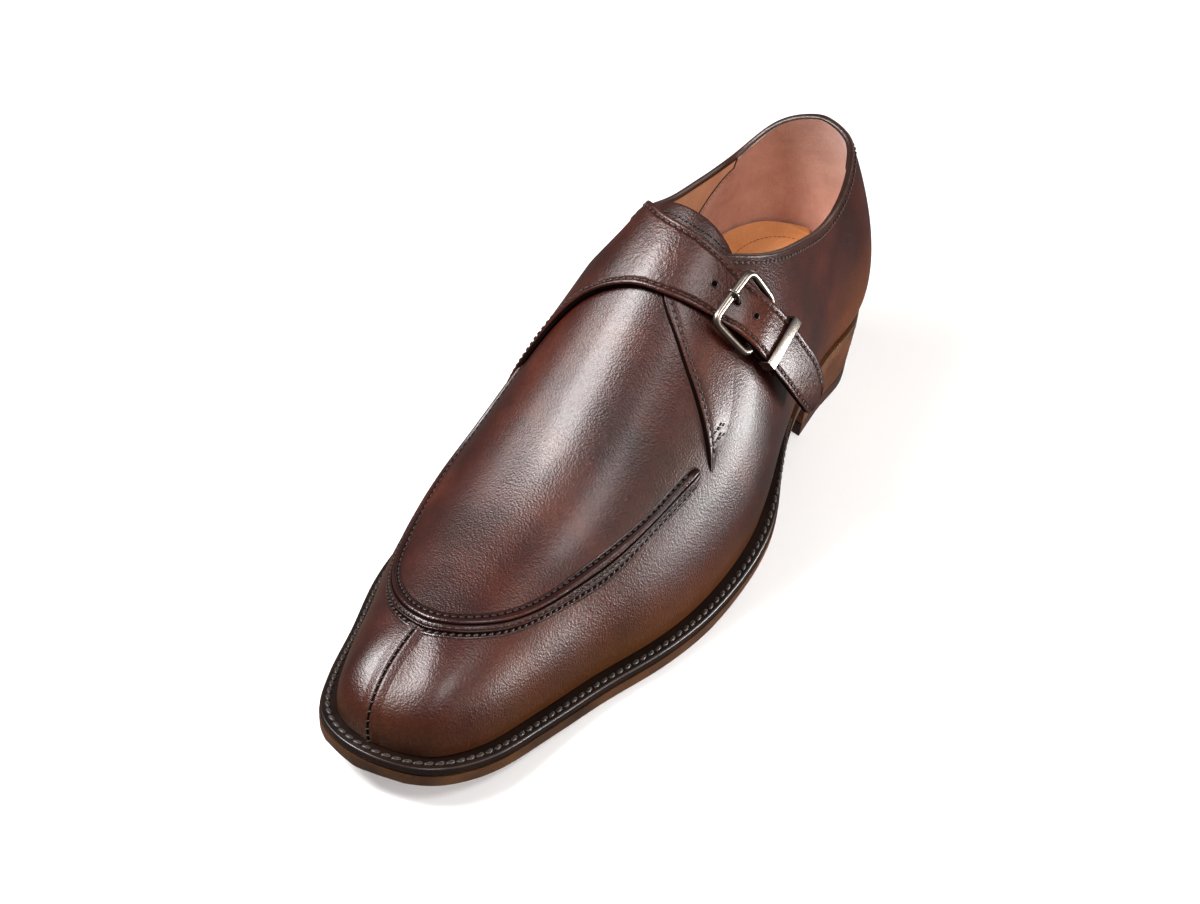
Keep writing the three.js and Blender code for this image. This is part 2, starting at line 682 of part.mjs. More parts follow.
function material(colour, roughness, metalness = 0) {
  return new THREE.MeshStandardMaterial({ color: colour, roughness, metalness });
}

const CALF = material("#4e2f27", 0.35);
const LINING = material("#c08d72", 0.8);
const SOLE_LEATHER = material("#5c241d", 0.4);
const EDGE_LEATHER = material("#2b1a14", 0.35);
const RUBBER = material("#1c1c1c", 0.8);
const STEEL = material("#b9b4ac", 0.25, 1);

// A geometry as a solid that can be cut.
const wasm = await Module();
wasm.setup();

function solidOf(geometry) {
  const bare = geometry.clone();
  bare.deleteAttribute("normal");
  const merged = mergeVertices(bare, SAME_POINT);
  return new wasm.Manifold(
    new wasm.Mesh({
      numProp: 3,
      vertProperties: merged.attributes.position.array,
      triVerts: new Uint32Array(merged.index.array),
    }),
  );
}

function cut(geometry, cutter) {
  const left = solidOf(geometry).subtract(solidOf(cutter)).getMesh();
  const result = new THREE.BufferGeometry();
  result.setAttribute("position", new THREE.BufferAttribute(left.vertProperties, 3));
  result.setIndex(new THREE.BufferAttribute(left.triVerts, 1));
  result.computeVertexNormals();
  return result;
}

const PIECES = [
  ["upper", makeUpper(), CALF],
  ["tongue", makeTongue(), CALF],
  ["insole", makeInsole(), LINING],
  ["outsole", makeOutsole(), SOLE_LEATHER],
  ["welt", makeWelt(), EDGE_LEATHER],
  ["heel_stack", makeHeelStack(), EDGE_LEATHER],
  ["heel_top_leather", makeTopPiece(TOP_SPLIT + GAP, BREAST, BREAST_HOLLOW), SOLE_LEATHER],
  ["heel_top_rubber", makeTopPiece(0, TOP_SPLIT, 0), RUBBER],
  ["strap", cut(makeStrap(), makeProng(PRONG_PLAY)), CALF],
  ["buckle_tab", makeBuckleTab(), CALF],
  ["buckle_frame", makeBuckleFrame(), STEEL],
  ["buckle_prong", makeProng(0), STEEL],
  ["strap_keeper", makeKeeper(), STEEL],
];

const shoe = new THREE.Group();
for (const [name, geometry, look] of PIECES) {
  const mesh = new THREE.Mesh(geometry, look);
  mesh.name = name;
  shoe.add(mesh);
}

// The origin is under the middle of the shoe, on the floor.
const middle = new THREE.Box3().setFromObject(shoe, true).getCenter(new THREE.Vector3());
shoe.position.set(-middle.x, -middle.y, 0);

const part = new THREE.Group();
part.add(shoe);
export default part;
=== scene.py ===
# A left monk strap shoe: the leather, lining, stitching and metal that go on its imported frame.
# Shoe places are written (side, forward, up) in millimetres: side grows towards the outer
# side, where the buckle is, and forward runs from the back of the heel to the toe.
import math

import bmesh
import bpy
from mathutils import Matrix, Vector
from mathutils.bvhtree import BVHTree
from mathutils.interpolate import poly_3d_calc


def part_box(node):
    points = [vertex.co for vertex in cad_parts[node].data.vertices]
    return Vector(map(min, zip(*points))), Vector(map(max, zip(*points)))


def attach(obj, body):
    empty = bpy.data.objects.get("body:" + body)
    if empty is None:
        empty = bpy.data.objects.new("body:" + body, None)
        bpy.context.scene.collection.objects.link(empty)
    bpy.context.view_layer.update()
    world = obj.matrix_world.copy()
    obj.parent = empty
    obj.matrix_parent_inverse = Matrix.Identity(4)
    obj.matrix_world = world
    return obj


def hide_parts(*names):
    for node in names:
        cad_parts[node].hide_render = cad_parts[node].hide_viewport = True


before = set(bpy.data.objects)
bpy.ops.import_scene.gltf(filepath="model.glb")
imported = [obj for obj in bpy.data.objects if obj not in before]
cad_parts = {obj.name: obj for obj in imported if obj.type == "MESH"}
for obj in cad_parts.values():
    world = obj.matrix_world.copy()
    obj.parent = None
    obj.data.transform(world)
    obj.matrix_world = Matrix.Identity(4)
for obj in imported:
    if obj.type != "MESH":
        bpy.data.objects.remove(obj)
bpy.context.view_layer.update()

MM = 0.001
SHARP = math.radians(48)  # an edge that turns more than this ends a sheet of faces
SOLE_EDGE_AT_HEEL = 1.5  # the sole stands this far behind the upper
SIDE_OF_ORIGIN = 1.22
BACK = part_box("outsole")[1].y / MM + SOLE_EDGE_AT_HEEL

# Leathers and their places, in millimetres
CALF_THICKNESS = 1.2
LINING_THICKNESS = 0.8
WALL_THICKNESS = 2.2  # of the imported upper, leather and lining together
GRIP_THICKNESS = 0.5
GRIP_ENDS = 96  # forward place of the heel grip's front end, low in the shoe
GRIP_CUT = (0, 46, 69)  # its slanted upper front edge crosses this place
GRIP_CUT_FACING = Vector((0, -0.5, 0.866))
GRIP_CUT_STARTS = 31  # behind this the grip reaches the collar
GRIP_STITCH_INSET = 1.2
COLLAR_ENDS = 137  # the bound rim runs in under the strap to here
COLLAR_RIM_SIDES = 12
COLLAR_RIM_THICK = 1.4  # half its thickness through the wall
COLLAR_RIM_HIGH = 1.1  # half its height
COLLAR_STITCHES_BELOW = 2.8
STRAP_THICKNESS = 2.2
BASE_THICKNESS = 0.7  # of the strap, where it starts on the inner quarter
STRAP_STITCHES_IN = 2.05  # from the strap's edges
HOLE_RADIUS = 1.1
PORE_SIZE = 0.7
PORE_DEPTH = 0.2
FOOT_TAN = (11, 33)  # the heights over which the tan at the upper's foot, partly patina and partly a painted warm reflection, fades out
HEEL_TAN_TOP = (40, 72)  # and the tan round the heel, also partly a painted warm reflection
HEEL_TAN = (75, 135)  # the heel's tan comes in over this stretch of Y
TOE_RED = (-152, -92)  # and the toe's red fades out over this one
# how far the edges of the tan, partly patina and partly painted warm reflection, wander
PATINA_AND_REFLECTION_WANDERS = 9
STUD_PITCH = 1.3  # of the rubber's tread
LIFT_PITCH = 5.2  # of the heel's leather layers
WELT_STITCHES_OUT = 3.3  # from the upper's foot
WELT_STITCHES_END = 106  # forward place of both ends of the row


def at(side, forward, up):
    """A shoe place in the frame, in metres."""
    return Vector((side - SIDE_OF_ORIGIN, BACK - forward, up)) * MM


# ---------------------------------------------------------------- modelling


def pick_only(piece):
    if bpy.context.object and bpy.context.object.mode != "OBJECT":
        bpy.ops.object.mode_set(mode="OBJECT")
    bpy.ops.object.select_all(action="DESELECT")
    piece.select_set(True)
    bpy.context.view_layer.objects.active = piece


def edit(piece, *steps):
    """Runs edit-mode steps on the whole piece, faces selected."""
    pick_only(piece)
    bpy.ops.object.mode_set(mode="EDIT")
    bpy.ops.mesh.select_mode(type="FACE")
    bpy.ops.mesh.select_all(action="SELECT")
    for step in steps:
        step()
    bpy.ops.object.mode_set(mode="OBJECT")


def modify(piece, kind, **settings):
    pick_only(piece)
    modifier = piece.modifiers.new(kind.title(), kind)
    for key, value in settings.items():
        setattr(modifier, key, value)
    bpy.ops.object.modifier_apply(modifier=modifier.name)


def subdivide(piece, levels):
    modify(piece, "SUBSURF", levels=levels, render_levels=levels)


def soften(piece, width, segments, angle=50):
    modify(piece, "BEVEL", width=width * MM, segments=segments, limit_method="ANGLE",
           angle_limit=math.radians(angle), harden_normals=False)


def smooth(piece, angle):
    pick_only(piece)
    bpy.ops.object.shade_smooth_by_angle(angle=math.radians(angle))


def link(name, mesh):
    piece = bpy.data.objects.new(name, mesh)
    bpy.context.scene.collection.objects.link(piece)
    return piece


def copy_of_node(node, name):
    """A copy of a frame node, with its loose triangles joined into quads."""
    piece = link(name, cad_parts[node].data.copy())
    piece.data.materials.clear()
    edit(
        piece,
        lambda: bpy.ops.mesh.remove_doubles(threshold=0.02 * MM),
        lambda: bpy.ops.mesh.tris_convert_to_quads(
            face_threshold=math.radians(60), shape_threshold=math.radians(100)),
    )
    return piece


def keep_faces(piece, keep):
    """Deletes the faces that keep(mesh) doesn't choose."""
    mesh = bmesh.new()
    mesh.from_mesh(piece.data)
    mesh.faces.ensure_lookup_table()
    chosen = keep(mesh)
    drop = [face for face in mesh.faces if face not in chosen]
    bmesh.ops.delete(mesh, geom=drop, context="FACES")
    mesh.to_mesh(piece.data)
    mesh.free()


def sheet_around(seed):
    """Chooses the faces reached from the one nearest to seed without crossing a sharp edge."""
    def choose(mesh):
        start = min(mesh.faces, key=lambda face: (face.calc_center_median() - seed).length)
        chosen, waiting = {start}, [start]
        while waiting:
            for edge in waiting.pop().edges:
                if len(edge.link_faces) != 2 or edge.calc_face_angle(0) > SHARP:
                    continue
                for face in edge.link_faces:
                    if face not in chosen:
                        chosen.add(face)
                        waiting.append(face)
        return chosen
    return choose


class Skin:
    """A surface that seams, straps and stitches lie on."""

    def __init__(self, piece):
        self.places = [v.co.copy() for v in piece.data.vertices]
        self.normals = [v.normal.copy() for v in piece.data.vertices]
        self.faces = [tuple(p.vertices) for p in piece.data.polygons]
        self.tree = BVHTree.FromPolygons(self.places, self.faces)

    def touch(self, point):
        place, _, index, _ = self.tree.find_nearest(point)
        corners = self.faces[index]
        weights = poly_3d_calc([self.places[c] for c in corners], place)
        normal = Vector()
        for corner, weight in zip(corners, weights):
            normal += self.normals[corner] * weight
        return place, normal.normalized()

    def lay(self, point, up):
        place, normal = self.touch(point)
        return place + normal * up * MM


def smooth_step(x):
    x = min(max(x, 0), 1)
    return x * x * (3 - 2 * x)


def on_curve(points, share):
    """A point on the smooth curve through points, at a share of their count."""
    span = share * (len(points) - 1)
    k = min(int(span), len(points) - 2)
    x = span - k
    a, b, c, d = (points[min(max(k + i, 0), len(points) - 1)] for i in (-1, 0, 1, 2))
    bend = 2 * a - 5 * b + 4 * c - d
    return 0.5 * (2 * b + (c - a) * x + bend * x * x + (3 * (b - c) + d - a) * x ** 3)


def evenly(points, step, looped=False):
    """The same line, in equal steps of about step millimetres."""
    if looped:
        points = points + points[:1]
    lengths = [0.0]
    for a, b in zip(points, points[1:]):
        lengths.append(lengths[-1] + (b - a).length)
    count = max(2, round(lengths[-1] / (step * MM)))
    result = []
    k = 0
    for i in range(count if looped else count + 1):
        want = lengths[-1] * i / count
        while k < len(points) - 2 and lengths[k + 1] < want:
            k += 1
        span = lengths[k + 1] - lengths[k]
        result.append(points[k].lerp(points[k + 1], (want - lengths[k]) / span if span else 0))
    return result


def eased(points, times, looped=False):
    """The line with its small wobbles taken out; an open line's ends stay."""
    for _ in range(times):
        count = len(points)
        moved = []
        for k, p in enumerate(points):
            if not looped and k in (0, count - 1):
                moved.append(p)
            else:
                moved.append(p * 0.5 + (points[k - 1] + points[(k + 1) % count]) * 0.25)
        points = moved
    return points


def line(*places, step=1.0, ease=12):
    """A smooth line through shoe places."""
    points = [at(*place) for place in places]
    count = 12 * len(points)
    return eased(evenly([on_curve(points, k / count) for k in range(count + 1)], step), ease)


def mesh_of(name, places, faces):
    mesh = bpy.data.meshes.new(name)
    mesh.from_pydata(places, [], faces)
    mesh.validate()
    return link(name, mesh)


def grid_faces(rows, columns, closed=False):
    """Faces between rows of points; closed joins each row's last point to its first."""
    faces = []
    for i in range(rows - 1):
        for j in range(columns if closed else columns - 1):
            k = (j + 1) % columns
            low, high = i * columns, (i + 1) * columns
            faces.append((low + j, high + j, high + k, low + k))
    return faces


def tube_faces(rows, columns):
    """Closed rings of points, with a face over each end."""
    ends = [tuple(range(columns)), tuple(range((rows - 1) * columns, rows * columns))]
    return grid_faces(rows, columns, closed=True) + ends


def second_finish(piece, columns, chosen):
    """Gives the piece's second finish to the chosen columns of its faces."""
    for face in piece.data.polygons:
        if face.index % columns in chosen:
            face.material_index = 1


def ribbon(name, path, profile, skin, dark, turn=1):
    """Sweeps a profile of (across, up) points along a path that lies on skin.
    dark lists the columns of faces that take the piece's second finish, painted shade in its
    grooves and gaps."""
    count = len(path)
    rows = []
    for k, point in enumerate(path):
        before, after = path[max(k - 1, 0)], path[min(k + 1, count - 1)]
        place, normal = skin.touch(point)
        across = (after - before).normalized().cross(normal).normalized() * turn
        for side, up in profile(k / (count - 1)):
            rows.append(skin.lay(place + across * side * MM, up))
    columns = len(rows) // count
    piece = mesh_of(name, rows, grid_faces(count, columns))
    second_finish(piece, columns - 1, dark)
    face_like(piece, skin)
    return piece


def band(name, rear, front, profile, skin, dark):
    """Spans two lines on skin with a profile of (share across, up) points.
    dark lists the columns of faces that take the piece's second finish, painted shade in its
    grooves."""
    count = len(rear)
    rows = []
    for k, (a, b) in enumerate(zip(rear, front)):
        for share, up in profile(k / (count - 1)):
            rows.append(skin.lay(a.lerp(b, share), up))
    columns = len(rows) // count
    piece = mesh_of(name, rows, grid_faces(count, columns))
    second_finish(piece, columns - 1, dark)
    face_like(piece, skin)
    return piece


def face_like(piece, skin):
    """Turns an open piece so that it faces out of the skin that it lies on."""
    agree = sum(p.normal.dot(skin.touch(p.center)[1]) for p in piece.data.polygons)
    if agree < 0:
        edit(piece, bpy.ops.mesh.flip_normals)


def stitch_shape():
    """One stitch of unit size along X: a short round thread with blunt ends.
    Its points and faces are put in order, because a new sphere's order varies."""
    bpy.ops.object.select_all(action="DESELECT")
    bpy.ops.mesh.primitive_uv_sphere_add(
        segments=8, ring_count=6, radius=0.5, rotation=(0, math.pi / 2, 0))
    shape = bpy.context.object
    bpy.ops.object.transform_apply(rotation=True)
    vertices = sorted(shape.data.vertices, key=lambda v: tuple(round(c, 4) for c in v.co))
    rank = {vertex.index: k for k, vertex in enumerate(vertices)}
    places = []
    for vertex in vertices:
        p = vertex.co * 2
        blunt = abs(p.x) ** 0.6 * math.copysign(1, p.x)
        places.append(Vector((blunt, p.y, p.z)) * 0.5)
    faces = []
    for polygon in shape.data.polygons:
        face = [rank[k] for k in polygon.vertices]
        first = face.index(min(face))
        faces.append(tuple(face[first:] + face[:first]))
    bpy.data.objects.remove(shape)
    return places, sorted(faces)


STITCH = stitch_shape()


def sew(name, path, skin, pitch, size, up=0.1, tilt=0):
    """A row of stitches along a path on skin; size is (length, width, height)."""
    shape, shape_faces = STITCH
    length, width, height = size
    stations = evenly(path, pitch)
    places, faces = [], []
    for a, b in zip(stations, stations[1:]):
        place, normal = skin.touch((a + b) / 2)
        along = (b - a).normalized()
        across = normal.cross(along).normalized()
        along = across.cross(normal)
        turned = Matrix.Rotation(math.radians(tilt), 3, normal)
        along, across = turned @ along, turned @ across
        first = len(places)
        for p in shape:
            places.append(place + (along * p.x * length + across * p.y * width
                                   + normal * (p.z * height + up)) * MM)
        faces += [tuple(first + c for c in face) for face in shape_faces]
    return mesh_of(name, places, faces)


def boundary_lines(piece):
    """The open edges of a piece, as closed lines of points."""
    mesh = bmesh.new()
    mesh.from_mesh(piece.data)
    left = {edge for edge in mesh.edges if edge.is_boundary}
    lines = []
    while left:
        edge = min(left, key=lambda e: e.index)
        left.remove(edge)
        start, tip = edge.verts
        points = [start.co.copy(), tip.co.copy()]
        while tip is not start:
            edge = next((e for e in tip.link_edges if e in left), None)
            if edge is None:
                break
            left.remove(edge)
            tip = edge.other_vert(tip)
            points.append(tip.co.copy())
        lines.append(points[:-1])
    mesh.free()
    return lines


# ---------------------------------------------------------------- finishes


def node(tree, kind, inputs=None, **settings):
    new = tree.nodes.new("ShaderNode" + kind)
    for key, value in settings.items():
        setattr(new, key, value)
    for key, value in (inputs or {}).items():
        if isinstance(value, bpy.types.NodeSocket):
            tree.links.new(value, new.inputs[key])
        else:
            new.inputs[key].default_value = value
    return new


def rgb(text):
    """A written colour, such as 4e2f27, as linear values."""
    parts = [int(text[k:k + 2], 16) / 255 for k in (0, 2, 4)]
    return tuple(p / 12.92 if p <= 0.04045 else ((p + 0.055) / 1.055) ** 2.4 for p in parts) + (1,)


def material(name):
    look = bpy.data.materials.new(name)
    look.use_nodes = True
    tree = look.node_tree
    shader = tree.nodes["Principled BSDF"]
    coordinates = node(tree, "TexCoord").outputs["Object"]
    return look, tree, shader, coordinates


def ramp(tree, factor, *stops):
    """A colour ramp; stops are (place, written colour)."""
    new = node(tree, "ValToRGB", {"Fac": factor})
    elements = new.color_ramp.elements
    while len(elements) < len(stops):
        elements.new(0.5)
    for element, (place, colour) in zip(elements, stops):
        element.position = place
        element.color = rgb(colour)
    return new.outputs["Color"]


def noise(tree, coordinates, scale, detail, roughness=0.55):
    return node(tree, "TexNoise", {
        "Vector": coordinates, "Scale": scale, "Detail": detail, "Roughness": roughness,
    }).outputs["Fac"]


def math_node(tree, operation, a, b):
    return node(tree, "Math", {0: a, 1: b}, operation=operation).outputs[0]


def spread(tree, value, low, high, to_low, to_high):
    return node(tree, "MapRange", {
        "Value": value, "From Min": low, "From Max": high, "To Min": to_low, "To Max": to_high,
    }).outputs["Result"]


def mixed(tree, factor, a, b):
    new = node(tree, "Mix", data_type="RGBA")
    for key, value in ((0, factor), (6, a), (7, b)):
        if isinstance(value, bpy.types.NodeSocket):
            tree.links.new(value, new.inputs[key])
        else:
            new.inputs[key].default_value = value
    return new.outputs[2]


def leather(name, dark, middle, light, roughness=(0.33, 0.39), coat=0.12, gloss=0.42,
            cloud=26, pebble=0.0, patina_and_reflection=None):
    """Aniline leather: clouded colour, fine pores, and a waxed surface. pebble is the size
    of a coarser grain, in millimetres; the given patina function rubs a patina over the colour and
    paints a warm reflection low on it."""
    look, tree, shader, coordinates = material(name)
    clouds = noise(tree, coordinates, cloud, 5, 0.62)
    colour = ramp(tree, clouds, (0.3, dark), (0.52, middle), (0.72, light))
    if patina_and_reflection:
        colour = patina_and_reflection(tree, coordinates, colour)
    specks = noise(tree, coordinates, 900, 2)
    colour = mixed(tree, spread(tree, specks, 0.35, 0.7, 0.0, 0.35), colour, rgb(dark))
    cells = node(tree, "TexVoronoi", {
        "Vector": coordinates, "Scale": 1 / (PORE_SIZE * MM)}, feature="SMOOTH_F1")
    cells.inputs["Smoothness"].default_value = 0.6
    fine = noise(tree, coordinates, 1.6 / (PORE_SIZE * MM), 2)
    height = math_node(tree, "ADD", cells.outputs["Distance"], fine)
    if pebble:
        coarse = node(tree, "TexVoronoi", {
            "Vector": coordinates, "Scale": 1 / (pebble * MM)}, feature="SMOOTH_F1")
        height = math_node(tree, "ADD", height,
                           math_node(tree, "MULTIPLY", coarse.outputs["Distance"], 1.3))
    creases = noise(tree, coordinates, 60, 4)
    height = math_node(tree, "ADD", height, math_node(tree, "MULTIPLY", creases, 1.2))
    bump = node(tree, "Bump", {"Height": height, "Strength": 0.45, "Distance": PORE_DEPTH * MM})
    shine = spread(tree, noise(tree, coordinates, 45, 4), 0.3, 0.7, *roughness)
    tree.links.new(colour, shader.inputs["Base Color"])
    tree.links.new(shine, shader.inputs["Roughness"])
    tree.links.new(bump.outputs["Normal"], shader.inputs["Normal"])
    shader.inputs["Specular IOR Level"].default_value = gloss
    shader.inputs["Coat Weight"].default_value = coat
    shader.inputs["Coat Roughness"].default_value = 0.2
    return look


def patina_and_warm_reflection(tree, coordinates, colour):
    """A hand-rubbed patina, redder at the toe; the tan low on the sides and at the heel is partly
    patina and partly a painted warm reflection.
    """
    parts = node(tree, "SeparateXYZ", {"Vector": coordinates})
    wander = spread(tree, noise(tree, coordinates, 30, 3), 0, 1,
                    -PATINA_AND_REFLECTION_WANDERS * MM, PATINA_AND_REFLECTION_WANDERS * MM)
    height = math_node(tree, "ADD", parts.outputs["Z"], wander)

    def fading(value, reach, first, last):
        return spread(tree, value, reach[0] * MM, reach[1] * MM, first, last)

    # The foot's tan, 533417, is partly patina and partly a painted warm reflection
    foot = fading(height, FOOT_TAN, 0.85, 0.0)
    toe = fading(parts.outputs["Y"], TOE_RED, 0.42, 0.0)
    colour = mixed(tree, toe, colour, rgb("381a17"))
    # The heel's tan, 71401a, is partly patina and partly a painted warm reflection
    heel = fading(parts.outputs["Y"], HEEL_TAN, 0.0, 0.9)
    below_collar = fading(height, HEEL_TAN_TOP, 1.0, 0.0)
    colour = mixed(tree, math_node(tree, "MULTIPLY", heel, below_collar), colour, rgb("71401a"))
    return mixed(tree, foot, colour, rgb("533417"))


def waxed_edge(name, dark, light, roughness, coat, gloss=0.5, layers=0.0):
    """Cut leather, inked and waxed; layers is the pitch of its stacked lifts in millimetres."""
    look, tree, shader, coordinates = material(name)
    clouds = noise(tree, coordinates, 70, 4)
    colour = ramp(tree, clouds, (0.3, dark), (0.7, light))
    height = noise(tree, coordinates, 900, 3)
    if layers:
        parts = node(tree, "SeparateXYZ", {"Vector": coordinates})
        wave = node(tree, "Math", {0: math_node(tree, "MULTIPLY", parts.outputs["Z"],
                                                2 * math.pi / (layers * MM))}, operation="COSINE")
        lines = spread(tree, wave.outputs[0], 0.86, 1.0, 0.0, 1.0)
        colour = mixed(tree, math_node(tree, "MULTIPLY", lines, 0.75), colour, rgb("120a08"))
        height = math_node(tree, "SUBTRACT", height, math_node(tree, "MULTIPLY", lines, 3.0))
    bump = node(tree, "Bump", {"Height": height, "Strength": 0.3, "Distance": 0.05 * MM})
    tree.links.new(colour, shader.inputs["Base Color"])
    tree.links.new(bump.outputs["Normal"], shader.inputs["Normal"])
    shader.inputs["Roughness"].default_value = roughness
    shader.inputs["Specular IOR Level"].default_value = gloss
    shader.inputs["Coat Weight"].default_value = coat
    shader.inputs["Coat Roughness"].default_value = 0.12
    return look


def thread(name, dark, light):
    """Waxed thread, with its strands."""
    look, tree, shader, coordinates = material(name)
    strands = noise(tree, coordinates, 2600, 2)
    tree.links.new(ramp(tree, strands, (0.35, dark), (0.65, light)), shader.inputs["Base Color"])
    bump = node(tree, "Bump", {"Height": strands, "Strength": 0.5, "Distance": 0.06 * MM})
    tree.links.new(bump.outputs["Normal"], shader.inputs["Normal"])
    shader.inputs["Roughness"].default_value = 0.42
    shader.inputs["Sheen Weight"].default_value = 0.2
    return look


def suede(name, dark, light, nap):
    """Suede; nap is the size of its fibres' tufts, in millimetres."""
    look, tree, shader, coordinates = material(name)
    clouds = noise(tree, coordinates, 40, 5, 0.7)
    colour = ramp(tree, clouds, (0.25, dark), (0.75, light))
    fibres = noise(tree, coordinates, 1.6 / (nap * MM), 3, 0.7)
    colour = mixed(tree, spread(tree, fibres, 0.4, 0.7, 0.0, 0.3), colour, rgb(dark))
    bump = node(tree, "Bump", {"Height": fibres, "Strength": 0.6, "Distance": 0.3 * MM})
    tree.links.new(colour, shader.inputs["Base Color"])
    tree.links.new(bump.outputs["Normal"], shader.inputs["Normal"])
    shader.inputs["Roughness"].default_value = 0.85
    shader.inputs["Sheen Weight"].default_value = 0.25
    return look


def patina_sole(name, edge_dark="2e1c0f", edge_light="5c3d24"):
    """Sole leather: burgundy patina underneath, a brown waxed edge round it."""
    look, tree, shader, coordinates = material(name)
    clouds = noise(tree, coordinates, 16, 6, 0.65)
    red = ramp(tree, clouds, (0.3, "2c100e"), (0.5, "591d17"), (0.66, "6d2a1b"), (0.8, "6f4a1d"))
    scratches = noise(tree, node(tree, "Mapping", {
        "Vector": coordinates, "Scale": (30, 900, 30), "Rotation": (0, 0, 0.5)}).outputs[0], 1.5, 4)
    red = mixed(tree, spread(tree, scratches, 0.6, 0.75, 0.0, 0.35), red, rgb("8a4a35"))
    edge = ramp(tree, noise(tree, coordinates, 40, 4), (0.3, edge_dark), (0.7, edge_light))
    normal = node(tree, "SeparateXYZ", {"Vector": node(tree, "NewGeometry").outputs["Normal"]})
    under = spread(tree, normal.outputs["Z"], -0.55, -0.85, 0.0, 1.0)
    tree.links.new(mixed(tree, under, edge, red), shader.inputs["Base Color"])
    height = math_node(tree, "ADD", noise(tree, coordinates, 700, 3), scratches)
    bump = node(tree, "Bump", {"Height": height, "Strength": 0.25, "Distance": 0.06 * MM})
    tree.links.new(bump.outputs["Normal"], shader.inputs["Normal"])
    shine = spread(tree, noise(tree, coordinates, 50, 4), 0.3, 0.7, 0.24, 0.42)
    tree.links.new(shine, shader.inputs["Roughness"])
    shader.inputs["Coat Weight"].default_value = 0.25
    shader.inputs["Coat Roughness"].default_value = 0.18
    return look


def studded_rubber(name):
    """Black rubber with small diagonal studs on the face that treads on the floor."""
    look, tree, shader, coordinates = material(name)
    turned = node(tree, "Mapping", {
        "Vector": coordinates, "Rotation": (0, 0, math.radians(45))}).outputs[0]
    parts = node(tree, "SeparateXYZ", {"Vector": turned})
    turns = 2 * math.pi / (STUD_PITCH * MM)
    across, along = (
        node(tree, "Math", {0: math_node(tree, "MULTIPLY", parts.outputs[axis], turns)},
             operation="SINE").outputs[0]
        for axis in "XY")
    studs = math_node(tree, "MULTIPLY", across, along)
    normal = node(tree, "SeparateXYZ", {"Vector": node(tree, "NewGeometry").outputs["Normal"]})
    under = spread(tree, normal.outputs["Z"], -0.7, -0.95, 0.0, 1.0)
    height = math_node(tree, "ADD", math_node(tree, "MULTIPLY", studs, under),
                       math_node(tree, "MULTIPLY", noise(tree, coordinates, 1200, 2), 0.4))
    bump = node(tree, "Bump", {"Height": height, "Strength": 0.6, "Distance": 0.25 * MM})
    colour = ramp(tree, noise(tree, coordinates, 200, 4), (0.3, "0f0f10"), (0.7, "232324"))
    tree.links.new(colour, shader.inputs["Base Color"])
    tree.links.new(bump.outputs["Normal"], shader.inputs["Normal"])
    shader.inputs["Roughness"].default_value = 0.62
    return look


def polished_steel(name):
    """Brushed lightly along the shoe, so that its gloss varies a little."""
    look, tree, shader, coordinates = material(name)
    hairlines = noise(tree, node(tree, "Mapping", {
        "Vector": coordinates, "Scale": (90, 500, 90)}).outputs[0], 1, 3)
    tree.links.new(spread(tree, hairlines, 0.3, 0.7, 0.28, 0.34), shader.inputs["Roughness"])
    colour = ramp(tree, noise(tree, coordinates, 240, 3), (0.3, "7a736d"), (0.7, "928b85"))
    tree.links.new(colour, shader.inputs["Base Color"])
    shader.inputs["Metallic"].default_value = 1.0
    return look


CALF = leather("calf_upper", "1d0a07", "3a160f", "522617", patina_and_reflection=patina_and_warm_reflection)
STRAP_CALF = leather("calf_strap", "200b07", "3d180f", "552919", pebble=1.6)
SEAM_CALF = leather("calf_seam", "190907", "2f1410", "452018", roughness=(0.26, 0.32),
                    coat=0.15, gloss=0.45, patina_and_reflection=patina_and_warm_reflection)
# Near-black painted shade standing for the depth of a punched hole
HOLE_SHADE = waxed_edge("painted_hole_shade", "050303", "0d0807", roughness=0.85, coat=0, gloss=0.05)
# Near-black painted shade for seam grooves, the gaps at lapped cut edges, and the strap's cut edges
# and underside
PAINTED_SHADE = waxed_edge("painted_shade", "0c0504", "180b09", roughness=0.75, coat=0, gloss=0.1)
BINDING = leather("collar_binding", "26140f", "33201a", "4a2d24", roughness=(0.3, 0.42))
LINING = leather("calf_lining", "c09c84", "d2b097", "dfc0aa", roughness=(0.5, 0.65), coat=0)
HEEL_GRIP = suede("heel_grip_suede", "ac8072", "d8b2a3", nap=1.1)
SOCK = leather("sock_leather", "bf8452", "d09868", "dcab7e", roughness=(0.42, 0.58), coat=0.05,
               cloud=14)
THREAD = thread("upper_thread", "140b09", "35241d")
SEAM_THREAD = thread("seam_thread", "0c0605", "2a1b15")
WELT_THREAD = thread("welt_thread", "0d0a08", "3a2f28")
SOCK_THREAD = thread("sock_thread", "8a5326", "b27840")
WELT_EDGE = waxed_edge("welt_edge", "120a08", "26160f", roughness=0.36, coat=0.12)
SOLE = patina_sole("sole_patina")
HEEL_LIFTS = waxed_edge("heel_lifts", "44230f", "653819", roughness=0.42, coat=0.1,
                        layers=LIFT_PITCH)
HEEL_LEATHER = patina_sole("heel_top_red", "1c0f0a", "3c2013")
RUBBER = studded_rubber("heel_rubber_fine")
STEEL = polished_steel("buckle_steel")


def done(piece, look, slot, *nodes, angle=50, second=None):
    """Gives a piece its look and its place in the frame.
    second is the look of the faces that second_finish chose."""
    wanted = [p.material_index for p in piece.data.polygons]
    piece.data.materials.clear()
    piece.data.materials.append(look)
    if second:
        piece.data.materials.append(second)
        piece.data.polygons.foreach_set("material_index", wanted)
    smooth(piece, angle)
    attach(piece, "root")
    if nodes:
        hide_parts(*nodes)
    return piece


# ---------------------------------------------------------------- upper


